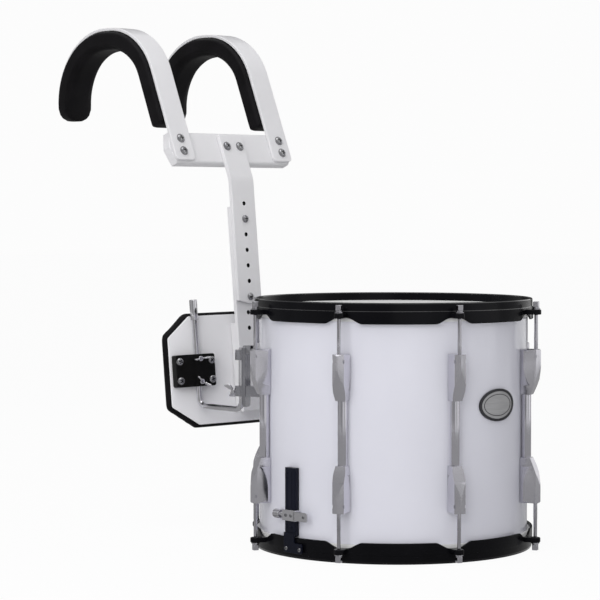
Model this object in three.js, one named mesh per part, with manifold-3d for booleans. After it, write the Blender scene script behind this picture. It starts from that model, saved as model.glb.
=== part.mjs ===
// Marching snare drum with its shoulder carrier, in millimetres, +Z up.
// The drum stands on its lower hoop. The carrier hangs on two J-rods behind it.
import * as THREE from 'three';
import { mergeVertices } from 'three/addons/utils/BufferGeometryUtils.js';
import Module from 'manifold-3d';

const wasm = await Module();
wasm.setup();

// Shared values
const seatGap = 0.3;
const cutOverrun = 2;
const drumSteps = 56;
const degree = Math.PI / 180;

// Shell
const shellRadius = 177.8;
const shellWall = 8;
const shellHeight = 305;
const shellBase = 12;
const bearingEdgeRise = 3;
const bearingEdgeFlat = 2;

// Heads
const headFilm = 1;
const fleshHoopWidth = 3.7;
const fleshHoopHeight = 9;
const fleshHoopDrop = 12;

// Hoops
const hoopHeight = 27;
const hoopRise = 12;
const hoopBandWall = 3.8;
const hoopBandClearance = 1.1;
const hoopSkirtClearance = 0.4;
const hoopSkirtWall = 2.8;
const hoopStepDrop = 11;
const hoopLip = 1.2;
const earWidth = 13.5;
const earThickness = 6.5;
const notchWidth = 46;
const notchHeight = 7.5;
const notchFlatShare = 0.5;
const notchShoulderShare = 0.75;

// Tension rods
const rodCount = 8;
const rodOffset = 19.2;
const rodRadius = 2.5;
const rodHoleClearance = 0.4;
const rodDepthInCasting = 22;
const rodHeadWidth = 7;
const rodHeadHeight = 8;
const rodCollarRadius = 4.4;
const rodCollarHeight = 2;
const rodWasherRadius = 5.6;
const rodWasherHeight = 1.2;

// Lugs
const lugTubeRadius = 6.3;
const castingLength = 59;
const castingBackHalfWidth = 7;
const castingHalfWidth = 9.6;
const castingFootReach = 5;
const castingShoulderHalfWidth = 7.8;
const castingShoulderReach = 21.5;
const castingNoseHalfWidth = 1;
const castingNoseReach = 25.5;
const castingTailHalfWidth = 6.8;
const castingTailReach = 13.5;
const castingFullShare = 0.35;
const castingBevel = 2;
const castingEndOffset = 52.5;
const windowWidth = 3;
const windowHeight = 3.4;
const windowDepth = 2;
const windowDrop = 9;

// Snare wires and their two ends
const snareStrandCount = 12;
const snareStrandRadius = 0.7;
const snareSpacing = 3.6;
const snarePlateLength = 14;
const snarePlateThickness = 2.4;
const snareEndInset = 18.8;
const snareHeadGap = 0.4;
const snareAngle = -45;

// Strainer
const strainerAngle = -47.5;
const guideTop = 33;
const guideBottom = 7;
const guideThickness = 2.8;
const railWidth = 19;
const railDepth = 8.2;
const railTop = 116;
const footWidth = 34;
const footTop = 20;
const railCorner = 1.5;
const slideHeight = 14;
const slideCentre = 55;
const slideWall = 2.2;
const tabLength = 24;
const tabThickness = 2;
const tabCorner = 2.5;
const slideScrewRadius = 2.2;
const slideScrewHeight = 1.4;
const thumbRadius = 5.8;
const thumbHeadLength = 11;
const thumbShankRadius = 2.4;
const thumbShankLength = 9;
const thumbFlutes = 16;
const thumbFluteDepth = 0.5;
const buttWidth = 30;
const buttHeight = 22;
const buttDepth = 7;
const buttCentre = 52;
const buttJawGap = 1.6;
const buttCorner = 4;

// Badge
const badgeAngle = 46;
const badgeHeight = 196.4;
const badgeHalfWidth = 33.5;
const badgeHalfHeight = 20.8;
const badgeThickness = 1.6;
const badgeRim = 3;
const badgeRimRise = 0.7;

// Carrier frame, set out from the front face of its lower bar
const carrierAzimuth = 45;
const carrierOffset = 101;
const carrierDatum = 300;
const carrierTilt = 5.6;
const barWidth = 44;
const holePitch = 22;
const holeRadius = 3.1;

// Lower bar
const lowerBarTop = 150;
const lowerBarBottom = -139;
const lowerBarThickness = 6;
const standoffTop = -14;
const standoffDepth = 12.2;
const lowerBarHoles = 8;
const lowestBarHole = -22;

// T-bar
const tBarThickness = 6;
const tBarBottom = 8;
const tBarBend = 188;
const tBarBendAngle = 16.4;
const tBarBendRadius = 30;
const tBarTop = 66;
const tBarHoles = 7;
const tBarEndCut = 9;
const upperBoltStep = 6;
const boltShankRadius = 2.8;
const boltHeadRadius = 5.4;
const boltHeadHeight = 4;
const boltNutHeight = 4.5;

// Crossbar
const crossbarLength = 232;
const crossbarHeight = 47;
const crossbarBottom = 25;
const crossbarDepth = 14;
const crossbarWall = 3;
const crossbarEdgeRadius = 4;
const crossbarEndSlant = 7.5;

// Shoulder hooks
const hookSpacing = 189;
const strapWidth = 36;
const strapThickness = 4.5;
const strapFoot = 28;
const strapRise = 137;
const strapFrontRadius = 95;
const strapCrest = 12;
const strapRearRadius = 100;
const strapRearDrop = 8;
const strapEndRound = 7;
const strapEdge = 0.8;

// Shoulder pads
const padWidth = 50;
const padThickness = 24;
const padStart = 51;
const padOverhang = 18;
const padCrown = 2.5;
const padEdgeRound = 6;
const padEndRound = 22;
const padFrontRound = 9;
const padDrawIn = 1.2;

// Belly plate and its pad
const bellyWidth = 246;
const bellyTop = 76;
const bellyBottom = -76;
const bellyCentre = -77;
const bellyThickness = 3;
const bellyRadius = 380;
const bellyUpperChamferWide = 34;
const bellyUpperChamferTall = 29;
const bellyLowerChamferWide = 41;
const bellyLowerChamferTall = 27;
const bellySteps = 20;
const bellyPadThickness = 10;
const bellyPadMargin = 4;
const bellyPadCrown = 6;
const bellyPadEdge = 3;

// J-rods
const jRodOffset = 42.8;
const jRodRadius = 4;
const jRodTopHeight = 318;
const jRodRunHeight = 172;
const jRodShortLegTop = 257;
const jRodBendRadius = 12;
const jRodSleeveRadius = 5.4;
const jRodSleeveLength = 29;
const jRodEndRound = 1.4;
const jRodSides = 10;

// Rod clamps
const clampWidth = 61.5;
const clampHeight = 45;
const clampDepth = 13;
const clampShift = 4.6;
const clampBoreDepth = 5.985793;
const clampCorner = 3;
const clampBoreClearance = 0.35;
const wingScrewSpread = 31.6;
const wingShankRadius = 2.4;
const wingHubRadius = 3.8;
const wingHubLength = 5.5;
const wingSpan = 26;
const wingThickness = 2.4;
const wingHeight = 8.5;
const wingRestTurn = { upper: 6, lower: -35 };

// Hook receivers on the drum
const receiverEyeRadius = 9;
const receiverEyeHeight = 14;
const receiverUpperEye = 247;
const receiverLowerEye = 197.5;
const receiverSpineWidth = 18;
const receiverSpineThickness = 4;
const receiverSpineBottom = 176;
const receiverSpineTop = 260;
const receiverSpineCorner = 5;
const receiverBlockWidth = 16;
const receiverBlockHeight = 11;
const receiverBoreClearance = 1;
const receiverWebShare = 1.7;

const materials = {
  whiteWrap: new THREE.MeshStandardMaterial({ color: 0xe9e9f1, roughness: 0.3, metalness: 0 }),
  blackHoop: new THREE.MeshStandardMaterial({ color: 0x15151a, roughness: 0.3, metalness: 0.3 }),
  film: new THREE.MeshStandardMaterial({ color: 0xf4f4f0, roughness: 0.5, metalness: 0 }),
  chrome: new THREE.MeshStandardMaterial({ color: 0xb9babf, roughness: 0.18, metalness: 1 }),
  steel: new THREE.MeshStandardMaterial({ color: 0x9a9aa0, roughness: 0.35, metalness: 1 }),
  whitePaint: new THREE.MeshStandardMaterial({ color: 0xdddde2, roughness: 0.4, metalness: 0 }),
  foam: new THREE.MeshStandardMaterial({ color: 0x161618, roughness: 0.9, metalness: 0 }),
  blackPlastic: new THREE.MeshStandardMaterial({ color: 0x101012, roughness: 0.5, metalness: 0 }),
};

// Solids are joined and cut from closed meshes whose vertices are shared

function toSolid(geometry) {
  const bare = geometry.clone();
  bare.deleteAttribute('normal');
  bare.deleteAttribute('uv');
  const merged = mergeVertices(bare, 1e-4);
  const vertProperties = new Float32Array(merged.attributes.position.array);
  const corners = merged.index.array;
  const kept = [];
  for (let index = 0; index < corners.length; index += 3) {
    const [a, b, c] = corners.slice(index, index + 3);
    if (a !== b && b !== c && c !== a) kept.push(a, b, c);
  }
  const triVerts = new Uint32Array(kept);
  return new wasm.Manifold(new wasm.Mesh({ numProp: 3, vertProperties, triVerts }));
}

function toGeometry(solid) {
  const mesh = solid.getMesh();
  const geometry = new THREE.BufferGeometry();
  const places = new Float32Array(mesh.vertProperties);
  geometry.setAttribute('position', new THREE.BufferAttribute(places, 3));
  geometry.setIndex(new THREE.BufferAttribute(new Uint32Array(mesh.triVerts), 1));
  return geometry;
}

function joinAll(first, ...others) {
  return others.reduce((whole, piece) => whole.add(piece), first);
}

function cutAll(first, ...others) {
  return others.reduce((whole, piece) => whole.subtract(piece), first);
}

function polygon(points) {
  return new THREE.Shape(points.map(([x, y]) => new THREE.Vector2(x, y)));
}

function roundedRectangle(width, height, corner) {
  const shape = new THREE.Shape();
  const x = width / 2;
  const y = height / 2;
  shape.moveTo(-x + corner, -y);
  shape.lineTo(x - corner, -y);
  shape.absarc(x - corner, -y + corner, corner, -Math.PI / 2, 0);
  shape.lineTo(x, y - corner);
  shape.absarc(x - corner, y - corner, corner, 0, Math.PI / 2);
  shape.lineTo(-x + corner, y);
  shape.absarc(-x + corner, y - corner, corner, Math.PI / 2, Math.PI);
  shape.lineTo(-x, -y + corner);
  shape.absarc(-x + corner, -y + corner, corner, Math.PI, 1.5 * Math.PI);
  return shape;
}

// A shape drawn in X and Y becomes a plate from depth zero up along +Z
function plate(shape, depth, curveSegments = 4) {
  return new THREE.ExtrudeGeometry(shape, { depth, bevelEnabled: false, curveSegments });
}

// A shape drawn in X and Z becomes a bar centred on Y
function barAcrossY(shape, depth, curveSegments = 4) {
  const geometry = plate(shape, depth, curveSegments);
  geometry.translate(0, 0, -depth / 2);
  geometry.rotateX(Math.PI / 2);
  return geometry;
}

function lathe(points, steps) {
  const profile = points.map(([radius, height]) => new THREE.Vector2(radius, height));
  const geometry = new THREE.LatheGeometry(profile, steps);
  geometry.rotateX(Math.PI / 2);
  return geometry;
}

function ringProfile(points) {
  return [...points, points[0]];
}

// A round bar along +Z from height zero
function roundBar(radius, length, steps = 12) {
  const geometry = new THREE.CylinderGeometry(radius, radius, length, steps);
  geometry.rotateX(Math.PI / 2);
  geometry.translate(0, 0, length / 2);
  return geometry;
}

function block(width, depth, height) {
  return new THREE.BoxGeometry(width, depth, height);
}

function named(name, geometry, material) {
  const mesh = new THREE.Mesh(geometry, material);
  mesh.name = name;
  return mesh;
}

function flipped(geometry) {
  geometry.rotateX(Math.PI);
  return geometry;
}

// Drum frame: the axis is Z, and angle zero looks towards -Y
const shellTop = shellBase + shellHeight;
const drumMiddle = shellBase + shellHeight / 2;
const filmInner = shellRadius + seatGap;
const filmOuter = filmInner + headFilm;
const fleshOuter = filmInner + fleshHoopWidth;
const hoopTop = shellTop + hoopRise;
const drumHeight = 2 * (hoopTop - drumMiddle);
const fleshTop = shellTop - (fleshHoopDrop - fleshHoopHeight);
const hoopLedge = fleshTop + seatGap;
const hoopBandInner = filmOuter + hoopBandClearance;
const hoopBandOuter = hoopBandInner + hoopBandWall;
const hoopSkirtInner = fleshOuter + hoopSkirtClearance;
const hoopSkirtOuter = hoopSkirtInner + hoopSkirtWall;
const hoopStep = hoopTop - hoopStepDrop;
const hoopBottom = hoopTop - hoopHeight;
const rodCircleRadius = shellRadius + rodOffset;
const earBase = hoopBottom + notchHeight;
const earTop = earBase + earThickness;

// The drum is turned so that the carrier, midway between two lugs, lies on +Y
const drum = new THREE.Group();
drum.rotation.z = -carrierAzimuth * degree;

function rodAngle(index) {
  return (index + 0.5) * (360 / rodCount);
}

// Puts a geometry built around +X, as seen from the axis, at a drum angle
function atDrumAngle(geometry, angle) {
  geometry.rotateZ((angle - 90) * degree);
  return geometry;
}

function makeShell() {
  const inner = shellRadius - shellWall;
  const crown = inner + shellWall / 2;
  const points = [
    [inner, shellBase + bearingEdgeRise],
    [crown - bearingEdgeFlat / 2, shellBase],
    [crown + bearingEdgeFlat / 2, shellBase],
    [shellRadius, shellBase + bearingEdgeRise / 2],
    [shellRadius, shellTop - bearingEdgeRise / 2],
    [crown + bearingEdgeFlat / 2, shellTop],
    [crown - bearingEdgeFlat / 2, shellTop],
    [inner, shellTop - bearingEdgeRise],
  ];
  return toGeometry(toSolid(lathe(ringProfile(points), drumSteps)));
}

function makeHead() {
  const filmBase = shellTop + seatGap;
  const points = [
    [0, filmBase],
    [filmInner, filmBase],
    [filmInner, fleshTop - fleshHoopHeight],
    [fleshOuter, fleshTop - fleshHoopHeight],
    [fleshOuter, fleshTop],
    [filmOuter, fleshTop],
    [filmOuter, filmBase],
    [filmOuter - headFilm, filmBase + headFilm],
    [0, filmBase + headFilm],
  ];
  return toGeometry(toSolid(lathe(points, drumSteps)));
}

// Each hoop has an ear for every rod, and its skirt is cut to an arch below the ear
function makeHoop() {
  const points = [
    [hoopSkirtInner, hoopBottom],
    [hoopSkirtOuter, hoopBottom],
    [hoopSkirtOuter, hoopStep - hoopLip],
    [hoopBandOuter, hoopStep],
    [hoopBandOuter, hoopTop - hoopLip],
    [hoopBandOuter - hoopLip, hoopTop],
    [hoopBandInner, hoopTop],
    [hoopBandInner, hoopLedge],
    [hoopSkirtInner, hoopLedge],
  ];
  let hoop = toSolid(lathe(ringProfile(points), drumSteps));
  const earStart = hoopSkirtInner + hoopSkirtWall / 2;
  const earEnd = rodCircleRadius;
  const notchTop = notchWidth * notchFlatShare / 2;
  const notchShoulder = (notchWidth / 2 + notchTop) / 2;
  const notch = polygon([
    [-notchWidth / 2, hoopBottom - cutOverrun],
    [notchWidth / 2, hoopBottom - cutOverrun],
    [notchWidth / 2, hoopBottom],
    [notchShoulder, hoopBottom + notchHeight * notchShoulderShare],
    [notchTop, hoopBottom + notchHeight],
    [-notchTop, hoopBottom + notchHeight],
    [-notchShoulder, hoopBottom + notchHeight * notchShoulderShare],
    [-notchWidth / 2, hoopBottom],
  ]);
  for (let index = 0; index < rodCount; index += 1) {
    const ear = new THREE.Shape();
    ear.moveTo(earStart, -earWidth / 2);
    ear.lineTo(earEnd, -earWidth / 2);
    ear.absarc(earEnd, 0, earWidth / 2, -Math.PI / 2, Math.PI / 2);
    ear.lineTo(earStart, earWidth / 2);
    const earPlate = plate(ear, earThickness, 3);
    earPlate.translate(0, 0, earBase);
    const hole = roundBar(rodRadius + rodHoleClearance, earThickness + 2 * cutOverrun, 8);
    hole.translate(rodCircleRadius, 0, earBase - cutOverrun);
    const arch = barAcrossY(notch, 2 * hoopSkirtWall + 2 * cutOverrun);
    arch.rotateZ(Math.PI / 2);
    arch.translate(hoopSkirtOuter, 0, 0);
    const angle = rodAngle(index);
    hoop = hoop.subtract(toSolid(atDrumAngle(arch, angle)));
    hoop = hoop.add(toSolid(atDrumAngle(earPlate, angle)));
    hoop = hoop.subtract(toSolid(atDrumAngle(hole, angle)));
  }
  return toGeometry(hoop);
}

// A casting is drawn with its rod end up at height zero, on +X of the drum axis.
// Its plan, its front and its side are three outlines, and it fills all three.
function makeCasting() {
  const back = shellRadius + seatGap;
  const nose = back + castingNoseReach;
  const shoulder = back + castingShoulderReach;
  const fullLength = castingLength * castingFullShare;
  const slope = castingLength - fullLength;
  const steps = 4;
  const shares = Array.from({ length: steps + 1 }, (_, index) => index / steps);
  const frontRight = shares.map((share) => {
    const halfWidth = castingHalfWidth - (castingHalfWidth - castingTailHalfWidth) * share ** 2;
    return [halfWidth, -fullLength - slope * share];
  });
  const frontLeft = frontRight.map(([x, z]) => [-x, z]).reverse();
  const top = castingHalfWidth - castingBevel;
  const topRight = [castingHalfWidth, -castingBevel];
  const topLeft = [-castingHalfWidth, -castingBevel];
  const front = polygon([[-top, 0], [top, 0], topRight, ...frontRight, ...frontLeft, topLeft]);
  const frontBar = barAcrossY(front, 2 * castingNoseReach);
  frontBar.rotateZ(Math.PI / 2);
  frontBar.translate(back + castingNoseReach / 2, 0, 0);

  const sideCurve = shares.map((share) => {
    const reach = castingNoseReach - (castingNoseReach - castingTailReach) * share ** 1.5;
    return [back + reach, -fullLength - slope * share];
  });
  const sideTop = [[nose - castingBevel, 0], [nose, -castingBevel]];
  const side = polygon([[back, -castingLength], [back, 0], ...sideTop, ...sideCurve].reverse());
  const sideBar = barAcrossY(side, 2 * castingHalfWidth + 2 * cutOverrun);

  const rightPlan = [
    [back, castingBackHalfWidth],
    [back + castingFootReach, castingHalfWidth],
    [shoulder, castingShoulderHalfWidth],
    [nose, castingNoseHalfWidth],
  ];
  const leftPlan = rightPlan.map(([x, y]) => [x, -y]);
  const planBar = plate(polygon([...leftPlan, ...rightPlan.reverse()]), castingLength + 2 * cutOverrun);
  planBar.translate(0, 0, -castingLength - cutOverrun);

  const bore = roundBar(rodRadius + rodHoleClearance, rodDepthInCasting + cutOverrun + seatGap, 8);
  bore.translate(rodCircleRadius, 0, -rodDepthInCasting - seatGap);
  let casting = toSolid(frontBar).intersect(toSolid(sideBar)).intersect(toSolid(planBar));
  casting = casting.subtract(toSolid(bore));
  for (const sideways of [-1, 1]) {
    const window = block(2 * windowDepth, windowWidth, windowHeight);
    window.translate(shoulder, sideways * castingShoulderHalfWidth, -windowDrop);
    casting = casting.subtract(toSolid(window));
  }
  return casting;
}

function makeLug(casting) {
  const upper = casting.translate([0, 0, shellTop - castingEndOffset]);
  const lower = casting.rotate([180, 0, 0]).translate([0, 0, shellBase + castingEndOffset]);
  const tubeEnd = castingEndOffset + castingLength - lugTubeRadius;
  const tube = roundBar(lugTubeRadius, shellHeight - 2 * tubeEnd, 12);
  tube.translate(shellRadius + seatGap + lugTubeRadius, 0, shellBase + tubeEnd);
  return toGeometry(joinAll(upper, lower, toSolid(tube)));
}

function makeTensionRod() {
  const tip = shellTop - castingEndOffset - rodDepthInCasting;
  const washer = roundBar(rodWasherRadius, rodWasherHeight, 8);
  washer.translate(0, 0, earTop + seatGap);
  const collarBase = earTop + seatGap + rodWasherHeight;
  const collar = roundBar(rodCollarRadius, rodCollarHeight, 8);
  collar.translate(0, 0, collarBase);
  const shank = roundBar(rodRadius, collarBase - tip + rodCollarHeight / 2, 6);
  shank.translate(0, 0, tip);
  const head = block(rodHeadWidth, rodHeadWidth, rodHeadHeight);
  const headBase = collarBase + rodCollarHeight / 2;
  head.translate(0, 0, headBase + rodHeadHeight / 2);
  const rod = joinAll(toSolid(shank), toSolid(washer), toSolid(collar), toSolid(head));
  return toGeometry(rod.translate([rodCircleRadius, 0, 0]));
}

// What is drawn for the batter side serves the snare side turned over
function toSnareSide(geometry) {
  geometry.translate(0, 0, -drumMiddle);
  flipped(geometry);
  geometry.translate(0, 0, drumMiddle);
  return geometry;
}

drum.add(named('shell', makeShell(), materials.whiteWrap));
drum.add(named('batter_head', makeHead(), materials.film));
drum.add(named('snare_side_head', toSnareSide(makeHead()), materials.film));
drum.add(named('batter_hoop', makeHoop(), materials.blackHoop));
drum.add(named('snare_side_hoop', toSnareSide(makeHoop()), materials.blackHoop));

const casting = makeCasting();
for (let index = 0; index < rodCount; index += 1) {
  const angle = rodAngle(index);
  const place = index + 1;
  const lug = atDrumAngle(makeLug(casting), angle);
  drum.add(named(`lug_${place}`, lug, materials.chrome));
  const upperRod = atDrumAngle(makeTensionRod(), angle);
  drum.add(named(`batter_rod_${place}`, upperRod, materials.chrome));
  const lowerRod = atDrumAngle(toSnareSide(makeTensionRod()), angle);
  drum.add(named(`snare_rod_${place}`, lowerRod, materials.chrome));
}

// Snare wires lie under the snare-side head between two end plates
function makeSnares() {
  const snareSpan = 2 * (shellRadius - snareEndInset);
  const top = shellBase - seatGap - headFilm - snareHeadGap;
  const middle = top - snarePlateThickness / 2;
  const plateWidth = snareSpacing * snareStrandCount;
  const strandLength = snareSpan - snarePlateLength;
  let snares = null;
  for (const side of [-1, 1]) {
    const end = block(snarePlateLength, plateWidth, snarePlateThickness);
    end.translate(side * (snareSpan - snarePlateLength) / 2, 0, middle);
    snares = snares ? snares.add(toSolid(end)) : toSolid(end);
  }
  for (let index = 0; index < snareStrandCount; index += 1) {
    const strand = roundBar(snareStrandRadius, strandLength, 5);
    strand.rotateY(Math.PI / 2);
    const across = (index - (snareStrandCount - 1) / 2) * snareSpacing;
    strand.translate(-strandLength / 2, across, middle);
    snares = snares.add(toSolid(strand));
  }
  return toGeometry(snares);
}

const railFace = shellRadius + seatGap + railDepth;
const railBottom = guideTop + seatGap;

function makeRail() {
  const shape = roundedRectangle(railDepth, railWidth, railCorner);
  const rail = plate(shape, railTop - railBottom, 2);
  rail.translate(railFace - railDepth / 2, 0, railBottom);
  return rail;
}

// The slide wraps the rail's sides and front, and a tab stands off one side
function makeSlide() {
  const outerWidth = railWidth + 2 * (slideWall + seatGap);
  const frontFace = railFace + seatGap + slideWall;
  const bodyDepth = frontFace - shellRadius - 3 * seatGap;
  const body = block(bodyDepth, outerWidth, slideHeight);
  body.translate(frontFace - bodyDepth / 2, 0, slideCentre);
  const channel = block(bodyDepth, railWidth + 2 * seatGap, slideHeight + 2 * cutOverrun);
  channel.translate(frontFace - slideWall - bodyDepth / 2, 0, slideCentre);
  const tabShape = roundedRectangle(tabLength + slideWall, slideHeight - slideWall, tabCorner);
  const tab = barAcrossY(tabShape, tabThickness);
  tab.rotateZ(Math.PI / 2);
  const tabMiddle = (outerWidth + tabLength) / 2 - slideWall;
  tab.translate(frontFace - tabThickness / 2, tabMiddle, slideCentre);
  let slide = toSolid(body).subtract(toSolid(channel)).add(toSolid(tab));
  for (const side of [-1, 1]) {
    const screw = roundBar(slideScrewRadius, slideScrewHeight + slideWall / 2, 10);
    screw.rotateY(Math.PI / 2);
    screw.translate(frontFace - slideWall / 2, side * railWidth / 4, slideCentre);
    slide = slide.add(toSolid(screw));
  }
  const hole = roundBar(thumbShankRadius + seatGap, 4 * slideWall);
  hole.rotateX(-Math.PI / 2);
  hole.translate(railFace - railDepth / 4, -outerWidth / 2 - 2 * slideWall, slideCentre);
  return toGeometry(slide.subtract(toSolid(hole)));
}

function makeThumbscrew() {
  const outline = [];
  for (let index = 0; index < 2 * thumbFlutes; index += 1) {
    const radius = thumbRadius - (index % 2) * thumbFluteDepth;
    const turn = index * Math.PI / thumbFlutes;
    outline.push([radius * Math.cos(turn), radius * Math.sin(turn)]);
  }
  const head = plate(polygon(outline), thumbHeadLength);
  head.translate(0, 0, thumbShankLength);
  const shank = roundBar(thumbShankRadius, thumbShankLength + slideWall);
  const screw = toGeometry(toSolid(head).add(toSolid(shank)));
  screw.rotateX(Math.PI / 2);
  screw.translate(railFace - railDepth / 4, -railWidth / 2 - seatGap, slideCentre);
  return screw;
}

// The guide carries the rail's line over the lower hoop and ends in a wider foot
function makeGuide() {
  const railSide = railWidth / 2;
  const footSide = footWidth - railSide;
  const shape = polygon([
    [-railSide, guideBottom],
    [footSide - railCorner, guideBottom],
    [footSide, guideBottom + railCorner],
    [footSide, footTop - railCorner],
    [footSide - railCorner, footTop],
    [railSide, footTop],
    [railSide, guideTop],
    [-railSide, guideTop],
  ]);
  const guide = barAcrossY(shape, guideThickness);
  guide.rotateZ(Math.PI / 2);
  guide.translate(hoopSkirtOuter + seatGap + guideThickness / 2, 0, 0);
  return guide;
}

function makeButt() {
  const face = shellRadius + seatGap + buttDepth;
  const body = barAcrossY(roundedRectangle(buttWidth, buttHeight, buttCorner), buttDepth);
  body.rotateZ(Math.PI / 2);
  body.translate(face - buttDepth / 2, 0, buttCentre);
  const jaw = block(buttDepth, buttWidth + 2 * cutOverrun, buttJawGap);
  jaw.translate(face, 0, buttCentre - buttHeight / 4);
  return toGeometry(toSolid(body).subtract(toSolid(jaw)));
}

function makeBadge() {
  const face = shellRadius + seatGap;
  const oval = new THREE.Shape();
  oval.absellipse(0, 0, badgeHalfWidth, badgeHalfHeight, 0, 2 * Math.PI);
  const field = new THREE.Shape();
  const fieldWidth = badgeHalfWidth - badgeRim;
  const fieldHeight = badgeHalfHeight - badgeRim;
  field.absellipse(0, 0, fieldWidth, fieldHeight, 0, 2 * Math.PI);
  const ovalBar = barAcrossY(oval, 4 * badgeHalfWidth, 8);
  ovalBar.rotateZ(Math.PI / 2);
  ovalBar.translate(face, 0, badgeHeight);
  const fieldBar = barAcrossY(field, 4 * badgeHalfWidth, 8);
  fieldBar.rotateZ(Math.PI / 2);
  fieldBar.translate(face, 0, badgeHeight);
  const low = badgeHeight - badgeHalfHeight - cutOverrun;
  const high = badgeHeight + badgeHalfHeight + cutOverrun;
  const skinFace = face + badgeThickness;
  const skin = [[face, low], [skinFace, low], [skinFace, high], [face, high]];
  const rise = skinFace + badgeRimRise;
  const pocket = [[skinFace, low], [rise + cutOverrun, low], [rise + cutOverrun, high], [skinFace, high]];
  const band = [[face, low], [rise, low], [rise, high], [face, high]];
  const front = block(2 * shellRadius, 4 * badgeHalfWidth, 4 * badgeHalfHeight);
  front.translate(shellRadius, 0, badgeHeight);
  const base = toSolid(lathe(ringProfile(band), drumSteps)).intersect(toSolid(front));
  const hollow = toSolid(lathe(ringProfile(pocket), drumSteps)).intersect(toSolid(front));
  const badge = base.intersect(toSolid(ovalBar)).subtract(hollow.intersect(toSolid(fieldBar)));
  return toGeometry(badge);
}

drum.add(named('snare_wires', atDrumAngle(makeSnares(), snareAngle), materials.steel));
drum.add(named('strainer_rail', atDrumAngle(makeRail(), strainerAngle), materials.blackHoop));
drum.add(named('strainer_slide', atDrumAngle(makeSlide(), strainerAngle), materials.chrome));
const thumbscrew = atDrumAngle(makeThumbscrew(), strainerAngle);
drum.add(named('strainer_thumbscrew', thumbscrew, materials.chrome));
drum.add(named('strainer_guide', atDrumAngle(makeGuide(), strainerAngle), materials.blackHoop));
drum.add(named('snare_butt', atDrumAngle(makeButt(), snareAngle + 180), materials.chrome));
drum.add(named('badge', atDrumAngle(makeBadge(), badgeAngle), materials.steel));

// Carrier frame: X runs across the player, Y away from the drum, Z up the bars
const carrier = new THREE.Group();
const tilted = new THREE.Group();
const carrierDistance = shellRadius + carrierOffset;
tilted.position.set(0, carrierDistance, carrierDatum);
tilted.rotation.x = -carrierTilt * degree;
carrier.add(tilted);

function frontHole(radius, height) {
  const hole = roundBar(radius, 2 * (tBarThickness + standoffDepth), 10);
  hole.rotateX(Math.PI / 2);
  hole.translate(0, tBarThickness + standoffDepth, height);
  return toSolid(hole);
}

// The lower bar is flat, with a stand-off behind it that carries the belly plate
function makeLowerBar() {
  const height = lowerBarTop - lowerBarBottom;
  const bar = block(barWidth, lowerBarThickness, height);
  bar.translate(0, lowerBarThickness / 2, (lowerBarTop + lowerBarBottom) / 2);
  const standoffHeight = standoffTop - lowerBarBottom - lowerBarThickness;
  const depth = standoffDepth + lowerBarThickness / 2;
  const standoff = block(barWidth - lowerBarThickness, depth, standoffHeight);
  standoff.translate(
    0,
    lowerBarThickness + standoffDepth - depth / 2,
    standoffTop - standoffHeight / 2,
  );
  let solid = toSolid(bar).add(toSolid(standoff));
  for (let index = 0; index < lowerBarHoles; index += 1) {
    solid = solid.subtract(frontHole(holeRadius, lowestBarHole + holePitch * index));
  }
  return toGeometry(solid);
}

// The T-bar's side outline bends back by an arc, and holes are drilled at one pitch
const tBarFront = -seatGap - tBarThickness;

function makeTBar() {
  const arcSteps = 5;
  const back = -seatGap;
  const centre = back + tBarBendRadius;
  const run = tBarBendRadius * Math.tan(tBarBendAngle * degree / 2);
  const outer = [];
  const inner = [];
  for (let index = 0; index <= arcSteps; index += 1) {
    const turn = tBarBendAngle * degree * index / arcSteps;
    const reach = tBarBendRadius + tBarThickness;
    const height = tBarBend - run;
    outer.push([centre - reach * Math.cos(turn), height + reach * Math.sin(turn)]);
    inner.push([
      centre - tBarBendRadius * Math.cos(turn),
      height + tBarBendRadius * Math.sin(turn),
    ]);
  }
  const bend = tBarBendAngle * degree;
  const rest = tBarTop - run;
  const [outerY, outerZ] = outer[arcSteps];
  const [innerY, innerZ] = inner[arcSteps];
  const outline = [
    [back, tBarBottom],
    [tBarFront, tBarBottom],
    ...outer,
    [outerY + rest * Math.sin(bend), outerZ + rest * Math.cos(bend)],
    [innerY + rest * Math.sin(bend), innerZ + rest * Math.cos(bend)],
    ...inner.reverse(),
  ];
  const bar = barAcrossY(polygon(outline), barWidth);
  bar.rotateZ(Math.PI / 2);
  let solid = toSolid(bar);
  for (let index = 0; index < tBarHoles; index += 1) {
    solid = solid.subtract(frontHole(holeRadius, holePitch * (index + 1)));
  }
  const corner = barAcrossY(polygon([
    [barWidth / 2, tBarBottom - cutOverrun],
    [barWidth / 2, tBarBottom],
    [-barWidth / 2 - cutOverrun, tBarBottom + tBarEndCut],
    [-barWidth / 2 - cutOverrun, tBarBottom - cutOverrun],
  ]), 4 * tBarThickness);
  return toGeometry(solid.subtract(toSolid(corner)));
}

function makeBarBolt() {
  const grip = tBarThickness + seatGap + lowerBarThickness;
  const nutBase = grip + 2 * seatGap;
  const shankLength = nutBase + boltNutHeight + cutOverrun + boltHeadHeight / 2;
  const shank = roundBar(boltShankRadius, shankLength, 10);
  shank.translate(0, 0, -boltHeadHeight / 2);
  const head = roundBar(boltHeadRadius, boltHeadHeight, 10);
  head.translate(0, 0, -boltHeadHeight);
  const nut = roundBar(boltHeadRadius, boltNutHeight, 6);
  nut.translate(0, 0, nutBase);
  const bolt = toGeometry(joinAll(toSolid(shank), toSolid(head), toSolid(nut)));
  bolt.rotateX(-Math.PI / 2);
  bolt.translate(0, tBarFront - seatGap, 0);
  return bolt;
}

tilted.add(named('lower_bar', makeLowerBar(), materials.whitePaint));
tilted.add(named('t_bar', makeTBar(), materials.whitePaint));
const lowerBolt = named('t_bar_bolt_lower', makeBarBolt(), materials.steel);
lowerBolt.position.z = holePitch;
tilted.add(lowerBolt);
const upperBolt = named('t_bar_bolt_upper', makeBarBolt(), materials.steel);
upperBolt.position.z = holePitch * upperBoltStep;
tilted.add(upperBolt);

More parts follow.
